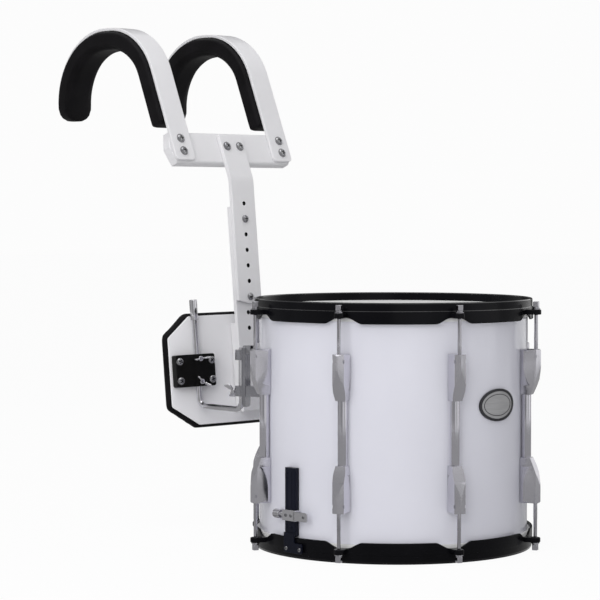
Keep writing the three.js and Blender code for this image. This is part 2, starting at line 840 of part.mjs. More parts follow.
// Above the bend, a turned frame holds the crossbar and the hooks
const yoke = new THREE.Group();
yoke.position.set(0, -seatGap, tBarBend);
yoke.rotation.x = -tBarBendAngle * degree;
tilted.add(yoke);

// The crossbar is a tray with rolled edges, open on the player's side, and
// both ends run out to a blunt point at half their height
function makeCrossbar() {
  const edge = crossbarEdgeRadius;
  const side = new THREE.Shape();
  side.moveTo(crossbarDepth, 0);
  side.lineTo(edge, 0);
  side.absarc(edge, edge, edge, -Math.PI / 2, -Math.PI, true);
  side.lineTo(0, crossbarHeight - edge);
  side.absarc(edge, crossbarHeight - edge, edge, Math.PI, Math.PI / 2, true);
  side.lineTo(crossbarDepth, crossbarHeight);
  const bar = barAcrossY(side, crossbarLength);
  bar.rotateZ(Math.PI / 2);
  const reach = crossbarLength / 2;
  const shoulder = reach - crossbarEndSlant;
  const ends = barAcrossY(polygon([
    [-shoulder, 0],
    [shoulder, 0],
    [reach, crossbarHeight / 2],
    [shoulder, crossbarHeight],
    [-shoulder, crossbarHeight],
    [-reach, crossbarHeight / 2],
  ]), 4 * crossbarDepth);
  const inside = shoulder - crossbarWall;
  const hollow = block(2 * inside, crossbarDepth, crossbarHeight - 2 * crossbarWall);
  hollow.translate(0, crossbarWall + crossbarDepth / 2, crossbarHeight / 2);
  const solid = toSolid(bar).intersect(toSolid(ends)).subtract(toSolid(hollow));
  return toGeometry(solid.translate([0, seatGap, crossbarBottom]));
}

yoke.add(named('crossbar', makeCrossbar(), materials.whitePaint));

// A route in the Y and Z plane is a list of stations with their headings.
// Heading zero runs up, and a move with a turn bends to the right of its heading.
function makeRoute(y, z, heading, moves) {
  const stations = [{ y, z, heading, travelled: 0 }];
  for (const move of moves) {
    const turn = (move.turn ?? 0) / move.parts;
    for (let part = 0; part < move.parts; part += 1) {
      const last = stations[stations.length - 1];
      const next = { ...last, heading: last.heading + turn };
      if (move.turn) {
        const centreY = last.y + move.radius * Math.cos(last.heading);
        const centreZ = last.z - move.radius * Math.sin(last.heading);
        next.y = centreY - move.radius * Math.cos(next.heading);
        next.z = centreZ + move.radius * Math.sin(next.heading);
        next.travelled += Math.abs(move.radius * turn);
      } else {
        next.y += move.length / move.parts * Math.sin(last.heading);
        next.z += move.length / move.parts * Math.cos(last.heading);
        next.travelled += move.length / move.parts;
      }
      stations.push(next);
    }
  }
  return stations;
}

// How far a rounded end draws back, at a distance from the end
function endPull(distance, radius) {
  const slack = radius - Math.min(distance, radius);
  return radius - Math.sqrt(radius ** 2 - slack ** 2);
}

// A section of points across and to the right of the heading is carried along a route
function sweep(stations, section, sharesAt = () => [1, 1]) {
  const total = stations[stations.length - 1].travelled;
  const middle = section.reduce((sum, point) => sum + point[1], 0) / section.length;
  const count = section.length;
  const rings = stations.length;
  const places = [];
  const put = (station, x, side) => places.push(
    x,
    station.y + side * Math.cos(station.heading),
    station.z - side * Math.sin(station.heading),
  );
  for (const station of stations) {
    const [acrossShare, sideShare] = sharesAt(station.travelled, total);
    for (const [x, side] of section) {
      put(station, x * acrossShare, middle + (side - middle) * sideShare);
    }
  }
  put(stations[0], 0, middle);
  put(stations[rings - 1], 0, middle);
  const index = [];
  for (let side = 0; side < count; side += 1) {
    const next = (side + 1) % count;
    for (let ring = 0; ring < rings - 1; ring += 1) {
      const low = ring * count;
      const high = low + count;
      index.push(low + side, low + next, high + side, low + next, high + next, high + side);
    }
    const last = (rings - 1) * count;
    index.push(rings * count, next, side);
    index.push(rings * count + 1, last + side, last + next);
  }
  const geometry = new THREE.BufferGeometry();
  geometry.setAttribute('position', new THREE.Float32BufferAttribute(places, 3));
  geometry.setIndex(index);
  return toGeometry(toSolid(geometry));
}

// Both hooks follow one route up from the foot, over the shoulder and down behind it
const yokeTilt = (carrierTilt + tBarBendAngle) * degree;

function hookMoves(start, overhang) {
  const moves = [
    { length: strapRise - start, parts: 2 },
    { radius: strapFrontRadius, turn: Math.PI / 2 - yokeTilt, parts: 8 },
    { length: strapCrest, parts: 1 },
    { radius: strapRearRadius, turn: Math.PI / 2, parts: 9 },
    { length: strapRearDrop, parts: 1 },
  ];
  return overhang > 0 ? [...moves, { length: overhang, parts: 4 }] : moves;
}

function makeStrap() {
  const half = strapWidth / 2;
  const section = [
    [half - strapEdge, 0],
    [-half + strapEdge, 0],
    [-half, -strapEdge],
    [-half, -strapThickness + strapEdge],
    [-half + strapEdge, -strapThickness],
    [half - strapEdge, -strapThickness],
    [half, -strapThickness + strapEdge],
    [half, -strapEdge],
  ];
  const foot = { length: strapEndRound, parts: 3 };
  const route = makeRoute(0, strapFoot, 0, [foot, ...hookMoves(strapEndRound, 0)]);
  return sweep(route, section, (travelled, total) => {
    const nearer = Math.min(travelled, total - travelled);
    return [1 - endPull(nearer, strapEndRound) / half, 1];
  });
}

// The pad's section has a crowned face, rounded edges and sides drawn in at the middle
function padSection() {
  const half = padWidth / 2;
  const shoulder = padThickness - padCrown;
  const right = [
    [half - padEdgeRound / 2, seatGap],
    [half, padEdgeRound / 2],
    [half - padDrawIn, shoulder / 2],
    [half, shoulder - padEdgeRound],
    [half - padEdgeRound / 3, shoulder - padEdgeRound / 3],
    [half - padEdgeRound, shoulder],
    [half / 2, padThickness - padCrown / 3],
  ];
  const left = right.map(([x, side]) => [-x, side]).reverse();
  return [...right, [0, padThickness], ...left];
}

function makePad() {
  const lead = { length: padFrontRound, parts: 3 };
  const moves = [lead, ...hookMoves(padStart + padFrontRound, padOverhang)];
  const route = makeRoute(0, strapFoot + padStart, 0, moves);
  return sweep(route, padSection(), (travelled, total) => {
    const front = endPull(travelled, padFrontRound);
    const rear = endPull(total - travelled, padEndRound);
    const edge = endPull(total - travelled, padFrontRound);
    const across = 1 - (front + rear) / (padWidth / 2);
    return [across, 1 - (front + edge) / padThickness];
  });
}

for (const [side, sign] of [['left', -1], ['right', 1]]) {
  const strap = named(`hook_strap_${side}`, makeStrap(), materials.whitePaint);
  strap.position.x = sign * hookSpacing / 2;
  yoke.add(strap);
  const pad = named(`shoulder_pad_${side}`, makePad(), materials.foam);
  pad.position.x = sign * hookSpacing / 2;
  yoke.add(pad);
}

// The belly plate is part of a tube about an upright axis on the player's side
const bellyFront = lowerBarThickness + standoffDepth + seatGap;

function bellyHeights(half, margin) {
  const upper = bellyTop + margin;
  const lower = bellyBottom - margin;
  const upperStart = half - bellyUpperChamferWide;
  const lowerStart = half - bellyLowerChamferWide;
  return (x) => {
    const upperOver = Math.max(Math.abs(x) - upperStart, 0) / bellyUpperChamferWide;
    const lowerOver = Math.max(Math.abs(x) - lowerStart, 0) / bellyLowerChamferWide;
    return [
      lower + bellyLowerChamferTall * lowerOver,
      upper - bellyUpperChamferTall * upperOver,
    ];
  };
}

function bellyColumns(half) {
  const upperStart = half - bellyUpperChamferWide;
  const lowerStart = half - bellyLowerChamferWide;
  const step = 2 * half / bellySteps;
  const columns = [];
  for (let x = -half; x < -lowerStart - step / 2; x += step) columns.push(x);
  columns.push(-lowerStart, -upperStart);
  const parts = Math.round(2 * lowerStart / step);
  for (let part = 1; part < parts; part += 1) {
    const x = -lowerStart + 2 * lowerStart * part / parts;
    if (x > -upperStart + step / 2 && x < upperStart - step / 2) columns.push(x);
  }
  return [...columns, ...columns.filter((x) => x < -step / 2).map((x) => -x).reverse()]
    .filter((x, index, all) => all.indexOf(x) === index)
    .sort((a, b) => a - b);
}

// A sheet is a grid of columns and rows with a front face and a back face
function bellySheet(margin, front, rowShares, depthAt) {
  const half = bellyWidth / 2 + margin;
  const columns = bellyColumns(half);
  const heights = bellyHeights(half, margin);
  const rows = rowShares.length;
  const places = [];
  for (const layer of [0, 1]) {
    for (const x of columns) {
      const [low, high] = heights(x);
      for (const share of rowShares) {
        const depth = layer * depthAt(x / half, share);
        const reach = bellyRadius - front - depth;
        const turn = x / bellyRadius;
        const z = (low + high) / 2 + share * (high - low) / 2;
        places.push(reach * Math.sin(turn), bellyRadius - reach * Math.cos(turn), z);
      }
    }
  }
  const perLayer = columns.length * rows;
  const at = (layer, column, row) => layer * perLayer + column * rows + row;
  const index = [];
  const quad = (a, b, c, d) => index.push(a, b, c, a, c, d);
  const lastColumn = columns.length - 1;
  const lastRow = rows - 1;
  for (let column = 0; column < lastColumn; column += 1) {
    const next = column + 1;
    for (let row = 0; row < lastRow; row += 1) {
      const up = row + 1;
      quad(at(0, column, row), at(0, next, row), at(0, next, up), at(0, column, up));
      quad(at(1, column, row), at(1, column, up), at(1, next, up), at(1, next, row));
    }
    quad(at(0, column, 0), at(1, column, 0), at(1, next, 0), at(0, next, 0));
    quad(at(0, column, lastRow), at(0, next, lastRow), at(1, next, lastRow), at(1, column, lastRow));
  }
  for (let row = 0; row < lastRow; row += 1) {
    const up = row + 1;
    quad(at(0, 0, row), at(0, 0, up), at(1, 0, up), at(1, 0, row));
    quad(
      at(0, lastColumn, row),
      at(1, lastColumn, row),
      at(1, lastColumn, up),
      at(0, lastColumn, up),
    );
  }
  const geometry = new THREE.BufferGeometry();
  geometry.setAttribute('position', new THREE.Float32BufferAttribute(places, 3));
  geometry.setIndex(index);
  geometry.translate(0, bellyFront, bellyCentre);
  return toGeometry(toSolid(geometry));
}

const bellyPlate = bellySheet(0, 0, [-1, 1], () => bellyThickness);
tilted.add(named('belly_plate', bellyPlate, materials.whitePaint));
const padRows = [-1, -0.94, -0.5, 0, 0.5, 0.94, 1];
const bellyPad = bellySheet(bellyPadMargin, bellyThickness + seatGap, padRows, (across, up) => {
  const rim = Math.max(Math.abs(across), Math.abs(up));
  const edge = rim > 1 - bellyPadEdge / bellyTop ? bellyPadEdge : 0;
  return bellyPadThickness - edge + bellyPadCrown * (1 - across ** 2) * (1 - up ** 2);
});
tilted.add(named('belly_pad', bellyPad, materials.foam));

// J-rods come down through the clamps, run to the drum and rise into the receivers
const hookAngle = 180 / rodCount;
const jRodCircleRadius = shellRadius + jRodOffset;
const jRodAcross = jRodCircleRadius * Math.sin(hookAngle * degree);
const jRodNear = jRodCircleRadius * Math.cos(hookAngle * degree);
const tiltSine = Math.sin(carrierTilt * degree);
const tiltCosine = Math.cos(carrierTilt * degree);

// The clamps stand square on the curved belly plate, and their bores set the rods' depth
const clampInset = jRodAcross + clampShift;
const clampTurn = Math.asin(clampInset / bellyRadius);
const clampSeat = bellyFront + bellyRadius * (1 - Math.cos(clampTurn));
const clampBackX = clampInset + seatGap * Math.sin(clampTurn);
const clampBackY = clampSeat - seatGap * Math.cos(clampTurn);
const boreInset = clampBoreDepth + (clampBackX - jRodAcross) * Math.sin(clampTurn);
const jRodLegDepth = clampBackY - boreInset / Math.cos(clampTurn);
const rodFromFront = clampDepth - clampBoreDepth;

function roundSection(radius) {
  const section = [];
  for (let side = 0; side < jRodSides; side += 1) {
    const turn = 2 * Math.PI * side / jRodSides;
    section.push([radius * Math.cos(turn), radius * Math.sin(turn)]);
  }
  return section;
}

function makeJRod() {
  const rise = (jRodTopHeight - carrierDatum + jRodLegDepth * tiltSine) / tiltCosine;
  const topY = carrierDistance + jRodLegDepth * tiltCosine + rise * tiltSine;
  const bendDrop = jRodBendRadius * (1 - tiltSine);
  const legLength = (jRodTopHeight - bendDrop - jRodRunHeight) / tiltCosine;
  const bendEnd = topY - legLength * tiltSine - jRodBendRadius * tiltCosine;
  const heading = Math.PI + carrierTilt * degree;
  const shortLeg = jRodShortLegTop - jRodRunHeight - jRodBendRadius - jRodEndRound;
  const route = makeRoute(topY, jRodTopHeight, heading, [
    { length: legLength, parts: 1 },
    { radius: jRodBendRadius, turn: Math.PI / 2 - carrierTilt * degree, parts: 5 },
    { length: bendEnd - jRodNear - jRodBendRadius, parts: 1 },
    { radius: jRodBendRadius, turn: Math.PI / 2, parts: 5 },
    { length: shortLeg, parts: 1 },
    { length: jRodEndRound, parts: 1 },
  ]);
  const rod = sweep(route, roundSection(jRodRadius), (travelled, total) => {
    const share = travelled < total ? 1 : 1 - jRodEndRound / jRodRadius;
    return [share, share];
  });
  const sleeveTop = jRodEndRound * tiltCosine;
  const sleeveRoute = makeRoute(
    topY + jRodEndRound * tiltSine,
    jRodTopHeight + sleeveTop,
    heading,
    [
      { length: jRodEndRound, parts: 1 },
      { length: jRodSleeveLength - 2 * jRodEndRound, parts: 1 },
      { length: jRodEndRound, parts: 1 },
    ],
  );
  const sleeve = sweep(sleeveRoute, roundSection(jRodSleeveRadius), (travelled, total) => {
    const isEnd = travelled === 0 || travelled === total;
    const share = isEnd ? 1 - jRodEndRound / jRodSleeveRadius : 1;
    return [share, share];
  });
  return toGeometry(toSolid(rod).add(toSolid(sleeve)));
}

// A wing screw stands on height zero, with its shank below and its wings above
function makeWingScrew(shankLength) {
  const shank = roundBar(wingShankRadius, shankLength + wingHubLength / 2, 8);
  shank.translate(0, 0, -shankLength);
  const hub = roundBar(wingHubRadius, wingHubLength, 8);
  const wing = polygon([
    [-wingHubRadius / 2, wingHubLength / 3],
    [wingHubRadius / 2, wingHubLength / 3],
    [wingSpan / 2 - wingThickness, wingHubLength / 2],
    [wingSpan / 2, wingHubLength],
    [wingSpan / 2 - wingThickness / 3, wingHubLength + wingHeight * 0.75],
    [wingSpan / 2 - wingThickness, wingHubLength + wingHeight * 0.9],
    [wingHubRadius, wingHubLength + wingHeight * 0.4],
    [wingHubRadius / 2, wingHubLength - wingThickness / 3],
    [-wingHubRadius / 2, wingHubLength - wingThickness / 3],
    [-wingHubRadius, wingHubLength + wingHeight * 0.4],
    [-wingSpan / 2 + wingThickness, wingHubLength + wingHeight * 0.9],
    [-wingSpan / 2 + wingThickness / 3, wingHubLength + wingHeight * 0.75],
    [-wingSpan / 2, wingHubLength],
    [-wingSpan / 2 + wingThickness, wingHubLength / 2],
  ]);
  const wings = barAcrossY(wing, wingThickness);
  return toGeometry(joinAll(toSolid(shank), toSolid(hub), toSolid(wings)));
}

// Each clamp block lies along the belly plate and is bored for its rod
function makeClamp(sign) {
  const body = barAcrossY(roundedRectangle(clampWidth, clampHeight, clampCorner), clampDepth);
  body.translate(0, -clampDepth / 2, 0);
  body.rotateZ(sign * clampTurn);
  body.translate(sign * clampBackX, clampBackY, 0);
  const bore = roundBar(jRodRadius + clampBoreClearance, clampHeight + 2 * cutOverrun, 12);
  bore.translate(sign * jRodAcross, jRodLegDepth, -clampHeight / 2 - cutOverrun);
  let solid = toSolid(body).subtract(toSolid(bore));
  for (const side of [-1, 1]) {
    const hole = roundBar(wingShankRadius + seatGap, rodFromFront + cutOverrun, 10);
    hole.rotateX(Math.PI / 2);
    hole.rotateZ(sign * clampTurn);
    hole.translate(sign * jRodAcross, jRodLegDepth, side * wingScrewSpread / 2);
    solid = solid.subtract(toSolid(hole));
  }
  return toGeometry(solid);
}

for (const [side, sign] of [['left', -1], ['right', 1]]) {
  const rod = named(`j_rod_${side}`, makeJRod(), materials.chrome);
  rod.position.x = sign * jRodAcross;
  carrier.add(rod);
  const clamp = named(`rod_clamp_${side}`, makeClamp(sign), materials.blackPlastic);
  clamp.position.z = bellyCentre;
  tilted.add(clamp);
  for (const [level, step] of [['upper', 1], ['lower', -1]]) {
    const shankLength = rodFromFront - jRodRadius;
    const screw = makeWingScrew(shankLength);
    screw.rotateZ(wingRestTurn[level] * degree);
    screw.translate(0, 0, rodFromFront + seatGap);
    screw.rotateX(Math.PI / 2);
    screw.rotateZ(sign * clampTurn);
    const height = bellyCentre + step * wingScrewSpread / 2;
    screw.translate(sign * jRodAcross, jRodLegDepth, height);
    tilted.add(named(`clamp_screw_${side}_${level}`, screw, materials.chrome));
  }
}

// A receiver stands off its lug and holds two eyes for the short leg of a J-rod
function makeReceiver() {
  const bore = jRodRadius + receiverBoreClearance;
  const spineOuter = jRodCircleRadius - bore - seatGap;
  const spineInner = spineOuter - receiverSpineThickness;
  const spineHeight = receiverSpineTop - receiverSpineBottom;
  const spineShape = roundedRectangle(receiverSpineWidth, spineHeight, receiverSpineCorner);
  const spine = barAcrossY(spineShape, receiverSpineThickness);
  spine.rotateZ(Math.PI / 2);
  const spineMiddle = (receiverSpineTop + receiverSpineBottom) / 2;
  spine.translate(spineInner + receiverSpineThickness / 2, 0, spineMiddle);

  const nose = shellRadius + seatGap + castingNoseReach + seatGap;
  const overlap = receiverSpineThickness / 2;
  const upperDepth = spineInner + overlap - nose;
  const upper = block(upperDepth, receiverBlockWidth, receiverBlockHeight);
  upper.translate(nose + upperDepth / 2, 0, receiverSpineTop - receiverBlockHeight / 2);
  const tubeMiddle = shellRadius + seatGap + lugTubeRadius;
  const lowerDepth = spineInner + overlap - tubeMiddle;
  const lower = block(lowerDepth, receiverBlockWidth, receiverEyeHeight);
  lower.translate(tubeMiddle + lowerDepth / 2, 0, receiverLowerEye);
  const saddle = roundBar(lugTubeRadius + seatGap, receiverEyeHeight + 2 * cutOverrun, 12);
  saddle.translate(tubeMiddle, 0, receiverLowerEye - receiverEyeHeight / 2 - cutOverrun);

  let solid = joinAll(toSolid(spine), toSolid(upper), toSolid(lower));
  solid = solid.subtract(toSolid(saddle));
  for (const height of [receiverUpperEye, receiverLowerEye]) {
    const eye = roundBar(receiverEyeRadius, receiverEyeHeight, 12);
    eye.translate(jRodCircleRadius, 0, height - receiverEyeHeight / 2);
    solid = solid.add(toSolid(eye));
    const web = block(jRodCircleRadius - spineOuter, receiverEyeRadius * receiverWebShare, receiverEyeHeight);
    web.translate((jRodCircleRadius + spineOuter) / 2, 0, height);
    solid = solid.add(toSolid(web));
  }
  const boreLength = receiverSpineTop - receiverSpineBottom;
  const rodBore = roundBar(bore, boreLength, 12);
  rodBore.translate(jRodCircleRadius, 0, receiverSpineBottom);
  const screwHole = roundBar(wingShankRadius + seatGap, receiverEyeRadius + cutOverrun, 10);
  screwHole.rotateY(Math.PI / 2);
  screwHole.translate(jRodCircleRadius, 0, receiverLowerEye);
  return toGeometry(cutAll(solid, toSolid(rodBore), toSolid(screwHole)));
}

for (const [side, turn] of [['left', 1], ['right', -1]]) {
  const angle = carrierAzimuth - 180 + turn * hookAngle;
  const receiver = atDrumAngle(makeReceiver(), angle);
  drum.add(named(`receiver_${side}`, receiver, materials.chrome));
  const shankLength = receiverEyeRadius - jRodRadius;
  const screw = makeWingScrew(shankLength);
  screw.rotateZ(Math.PI / 2);
  screw.rotateY(Math.PI / 2);
  screw.translate(jRodCircleRadius + receiverEyeRadius + seatGap, 0, receiverLowerEye);
  drum.add(named(`receiver_screw_${side}`, atDrumAngle(screw, angle), materials.chrome));
}

// The assembly is moved so that the middle of its base is the origin
const assembly = new THREE.Group();
assembly.add(drum, carrier);
assembly.updateMatrixWorld(true);
const bounds = new THREE.Box3().setFromObject(assembly, true);
const middle = bounds.getCenter(new THREE.Vector3());
const meshes = [];
assembly.traverse((object) => {
  if (object.isMesh) meshes.push(object);
});

const group = new THREE.Group();
for (const mesh of meshes) {
  const geometry = mesh.geometry.clone();
  geometry.applyMatrix4(mesh.matrixWorld);
  geometry.translate(-middle.x, -middle.y, -bounds.min.z);
  group.add(named(mesh.name, geometry, mesh.material));
}

export default group;
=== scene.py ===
import math

import bpy
from mathutils import Matrix, Vector


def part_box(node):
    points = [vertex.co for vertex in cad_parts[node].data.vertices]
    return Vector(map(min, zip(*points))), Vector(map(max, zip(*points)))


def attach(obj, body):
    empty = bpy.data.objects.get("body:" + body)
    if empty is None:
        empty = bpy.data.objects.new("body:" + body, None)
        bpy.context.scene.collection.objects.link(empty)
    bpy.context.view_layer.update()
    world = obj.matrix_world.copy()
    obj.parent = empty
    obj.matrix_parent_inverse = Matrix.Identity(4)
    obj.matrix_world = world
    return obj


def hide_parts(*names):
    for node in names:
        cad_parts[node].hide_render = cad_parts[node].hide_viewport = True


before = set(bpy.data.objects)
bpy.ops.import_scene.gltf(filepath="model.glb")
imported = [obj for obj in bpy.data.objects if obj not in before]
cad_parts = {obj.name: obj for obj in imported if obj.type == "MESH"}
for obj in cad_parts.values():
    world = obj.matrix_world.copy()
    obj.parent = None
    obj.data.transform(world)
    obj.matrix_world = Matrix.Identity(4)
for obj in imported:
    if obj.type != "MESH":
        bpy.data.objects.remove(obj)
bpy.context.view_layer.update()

# SHELL
# A wooden cylinder 14 inches across, wrapped in a gloss white plastic sheet.
# The wrap is glued on in one turn and overlaps itself in a thin upright seam at the back.
shell_low, shell_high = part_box("shell")
drum_x = (shell_low.x + shell_high.x) / 2
drum_y = (shell_low.y + shell_high.y) / 2


def let_go():
    """Nothing stays selected, so that the next operator acts on its own piece."""
    for chosen in list(bpy.context.selected_objects):
        chosen.select_set(False)


def take(piece):
    """Only this piece is selected and active."""
    let_go()
    piece.select_set(True)
    bpy.context.view_layer.objects.active = piece
    return piece


def outline(name, points):
    """A flat face through the points, left in edit mode with all of it selected."""
    let_go()
    bpy.ops.mesh.primitive_circle_add(vertices=len(points), fill_type="NGON")
    piece = bpy.context.active_object
    piece.name = piece.data.name = name
    for vertex, point in zip(piece.data.vertices, points):
        vertex.co = point
    bpy.ops.object.mode_set(mode="EDIT")
    bpy.ops.mesh.select_all(action="SELECT")
    return piece


def close_up(smooth=35):
    """Ends a piece: doubles merged, faces outward, and soft shading up to an angle."""
    bpy.ops.mesh.select_all(action="SELECT")
    bpy.ops.mesh.remove_doubles(threshold=1e-5)
    bpy.ops.mesh.delete_loose()
    bpy.ops.mesh.select_all(action="SELECT")
    bpy.ops.mesh.normals_make_consistent(inside=False)
    bpy.ops.object.mode_set(mode="OBJECT")
    bpy.ops.object.shade_smooth_by_angle(angle=math.radians(smooth))
    return bpy.context.active_object


def turned(name, profile, steps=144, smooth=35, through=360):
    """A ring, disc or sector turned about the drum's axis from (radius, height) points."""
    outline(name, [(radius, 0, height) for radius, height in profile])
    if through == 360:
        bpy.ops.mesh.delete(type="ONLY_FACE")
        bpy.ops.mesh.select_all(action="SELECT")
    bpy.ops.mesh.spin(
        steps=steps, angle=math.radians(through), center=(0, 0, 0), axis=(0, 0, 1)
    )
    return close_up(smooth)


def modify(piece, kind, **values):
    """One modifier is added to a piece and applied."""
    take(piece)
    modifier = piece.modifiers.new(kind.lower(), kind)
    for key, value in values.items():
        setattr(modifier, key, value)
    bpy.ops.object.modifier_apply(modifier=modifier.name)
    return piece


def fit(piece, body, slot, material, *nodes):
    """A finished piece gets its material, rides on its body and stands for its nodes."""
    if material:
        piece.data.materials.clear()
        piece.data.materials.append(material)
    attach(piece, body)
    if nodes:
        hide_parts(*nodes)
    return piece


def place(piece, matrix, flip=False):
    """The piece's mesh is moved to its place."""
    piece.data.transform(matrix)
    if flip:
        piece.data.flip_normals()
    return piece


def at(x, y, z):
    """A straight move to a place."""
    return Matrix.Translation(Vector((x, y, z)))


# Handling marks: broad soft patches and fine specks that change gloss and colour a little
marks = bpy.data.node_groups.new("handling_marks", "ShaderNodeTree")
for label, kind, default in (
    ("Stretch", "NodeSocketVector", (1, 1, 1)),
    ("Patch Scale", "NodeSocketFloat", 18),
    ("Speck Scale", "NodeSocketFloat", 240),
    ("Low", "NodeSocketFloat", 0.2),
    ("High", "NodeSocketFloat", 0.4),
):
    marks.interface.new_socket(label, in_out="INPUT", socket_type=kind).default_value = default
for label in ("Value", "Patches", "Specks"):
    marks.interface.new_socket(label, in_out="OUTPUT", socket_type="NodeSocketFloat")
marks_in = marks.nodes.new("NodeGroupInput")
marks_out = marks.nodes.new("NodeGroupOutput")
spot = marks.nodes.new("ShaderNodeTexCoord")
pulled = marks.nodes.new("ShaderNodeVectorMath")
pulled.operation = "MULTIPLY"
patch_detail, speck_detail, speck_share = 5, 3, 0.35
patches = marks.nodes.new("ShaderNodeTexNoise")
patches.inputs["Detail"].default_value = patch_detail
specks = marks.nodes.new("ShaderNodeTexNoise")
specks.inputs["Detail"].default_value = speck_detail
both = marks.nodes.new("ShaderNodeMath")
both.operation = "MULTIPLY_ADD"
both.inputs[1].default_value = speck_share
span = marks.nodes.new("ShaderNodeMapRange")
drift = marks.nodes.new("ShaderNodeMapRange")
for ranged, low, high in ((span, 0.45, 0.9), (drift, 0.35, 0.65)):
    ranged.inputs["From Min"].default_value = low
    ranged.inputs["From Max"].default_value = high
for source, target in (
    (spot.outputs["Object"], pulled.inputs[0]),
    (marks_in.outputs["Stretch"], pulled.inputs[1]),
    (pulled.outputs[0], patches.inputs["Vector"]),
    (pulled.outputs[0], specks.inputs["Vector"]),
    (marks_in.outputs["Patch Scale"], patches.inputs["Scale"]),
    (marks_in.outputs["Speck Scale"], specks.inputs["Scale"]),
    (specks.outputs["Fac"], both.inputs[0]),
    (patches.outputs["Fac"], both.inputs[2]),
    (both.outputs[0], span.inputs["Value"]),
    (marks_in.outputs["Low"], span.inputs["To Min"]),
    (marks_in.outputs["High"], span.inputs["To Max"]),
    (patches.outputs["Fac"], drift.inputs["Value"]),
    (span.outputs[0], marks_out.inputs["Value"]),
    (drift.outputs[0], marks_out.inputs["Patches"]),
    (specks.outputs["Fac"], marks_out.inputs["Specks"]),
):
    marks.links.new(source, target)
coat_gloss, grain_height = 0.05, 0.0005


def finish_of(
    name, colour, shade, metallic=0, gloss=(0.2, 0.4), scales=(18, 240), bump=0.02,
    stretch=(1, 1, 1), coat=0, specular=0.5, sheen=0,
):
    """A material whose colour drifts to a second shade and whose gloss has handling marks."""
    material = bpy.data.materials.new(name)
    material.use_nodes = True
    nodes, links = material.node_tree.nodes, material.node_tree.links
    shader = nodes["Principled BSDF"]
    shader.inputs["Metallic"].default_value = metallic
    shader.inputs["Coat Weight"].default_value = coat
    shader.inputs["Coat Roughness"].default_value = coat_gloss
    shader.inputs["Specular IOR Level"].default_value = specular
    shader.inputs["Sheen Weight"].default_value = sheen
    wear = nodes.new("ShaderNodeGroup")
    wear.node_tree = marks
    wear.inputs["Stretch"].default_value = stretch
    for key, value in zip(("Patch Scale", "Speck Scale", "Low", "High"), (*scales, *gloss)):
        wear.inputs[key].default_value = value
    tone = nodes.new("ShaderNodeMix")
    tone.data_type = "RGBA"
    tone.inputs["A"].default_value = (*colour, 1)
    tone.inputs["B"].default_value = (*shade, 1)
    raised = nodes.new("ShaderNodeBump")
    raised.inputs["Strength"].default_value = bump
    raised.inputs["Distance"].default_value = grain_height
    links.new(wear.outputs["Patches"], tone.inputs["Factor"])
    links.new(tone.outputs["Result"], shader.inputs["Base Color"])
    links.new(wear.outputs["Value"], shader.inputs["Roughness"])
    links.new(wear.outputs["Specks"], raised.inputs["Height"])
    links.new(raised.outputs["Normal"], shader.inputs["Normal"])
    return material


wrap = finish_of(
    "white_wrap", (0.76, 0.76, 0.83), (0.735, 0.735, 0.805), gloss=(0.14, 0.22), bump=0.01,
    scales=(7, 260), coat=0.35,
)
on_axis = at(drum_x, drum_y, 0)
wrap_radius, seam_in, seam_out = 0.1778, 0.1776, 0.1781
seam_turn = math.radians(92.5)
fine_steps = 192
shell = turned(
    "shell_wrap",
    [
        (0.1698, 0.0150), (0.1728, 0.0120), (0.1748, 0.0120), (wrap_radius, 0.0136),
        (wrap_radius, 0.3154), (0.1748, 0.3170), (0.1728, 0.3170), (0.1698, 0.3140),
    ],
    steps=fine_steps,
)
fit(place(shell, on_axis), "drum", "white_wrap", wrap, "shell")
seam = turned(
    "wrap_seam",
    [(seam_in, 0.0138), (seam_out, 0.0140), (seam_out, 0.3150), (seam_in, 0.3152)],
    steps=6,
    through=5,
)
fit(place(seam, on_axis @ Matrix.Rotation(seam_turn, 4, "Z")), "drum", "white_wrap", wrap)

# HEADS
# Each head is a coated film that is held in a metal flesh hoop and pulled over the shell.
# The coating is a fine sprayed grit, a little greyer where it has been played.
film = finish_of(
    "coated_film", (0.8, 0.8, 0.79), (0.74, 0.74, 0.735), gloss=(0.5, 0.7), scales=(9, 900),
    bump=0.3,
)
drum_middle = 0.1645
head_profile = [
    (0, 0.1528), (0.1700, 0.1528), (0.1781, 0.1505), (0.1782, 0.1406), (0.1817, 0.1406),
    (0.1817, 0.1494), (0.1793, 0.1494), (0.1790, 0.1520), (0.1772, 0.1536), (0.1700, 0.1538),
    (0, 0.1538),
]
for side, node in ((1, "batter_head"), (-1, "snare_side_head")):
    points = [(radius, drum_middle + side * rise) for radius, rise in head_profile]
    fit(place(turned(node + "_film", points), on_axis), "drum", "coated_film", film, node)


# HOOPS
# Each hoop is one casting in gloss black, with an ear for every tension rod.
# Its skirt is arched up under each ear, and a ledge runs round it, glossier and a lighter black
# as a painted highlight.
def around(angle):
    """A turn about the drum's axis: 0 faces the camera, and it grows to the camera's right."""
    return Matrix.Rotation(math.radians(angle - 135), 4, "Z")


def on_drum(angle):
    """The place on the drum, at such an angle, for a piece built on +X."""
    return on_axis @ around(angle)


def copy_to(piece, name, matrix):
    """A copy with a mesh of its own, moved by the matrix."""
    copy = piece.copy()
    copy.data = piece.data.copy()
    copy.name = copy.data.name = name
    bpy.context.collection.objects.link(copy)
    return place(copy, matrix, flip=matrix.determinant() < 0)


def drop(*pieces):
    """Tools and patterns are removed once they have served."""
    for piece in pieces:
        bpy.data.objects.remove(piece)


def shaded(piece, smooth=40):
    """Soft shading up to an angle."""
    take(piece)
    bpy.ops.object.shade_smooth_by_angle(angle=math.radians(smooth))
    return piece


def eased(piece, width, segments=2, sharp=40, smooth=40):
    """Edges sharper than an angle are rounded, and the piece is shaded softly."""
    modify(piece, "BEVEL", width=width, segments=segments, angle_limit=math.radians(sharp))
    return shaded(piece, smooth)


X, Y, Z = 0, 1, 2


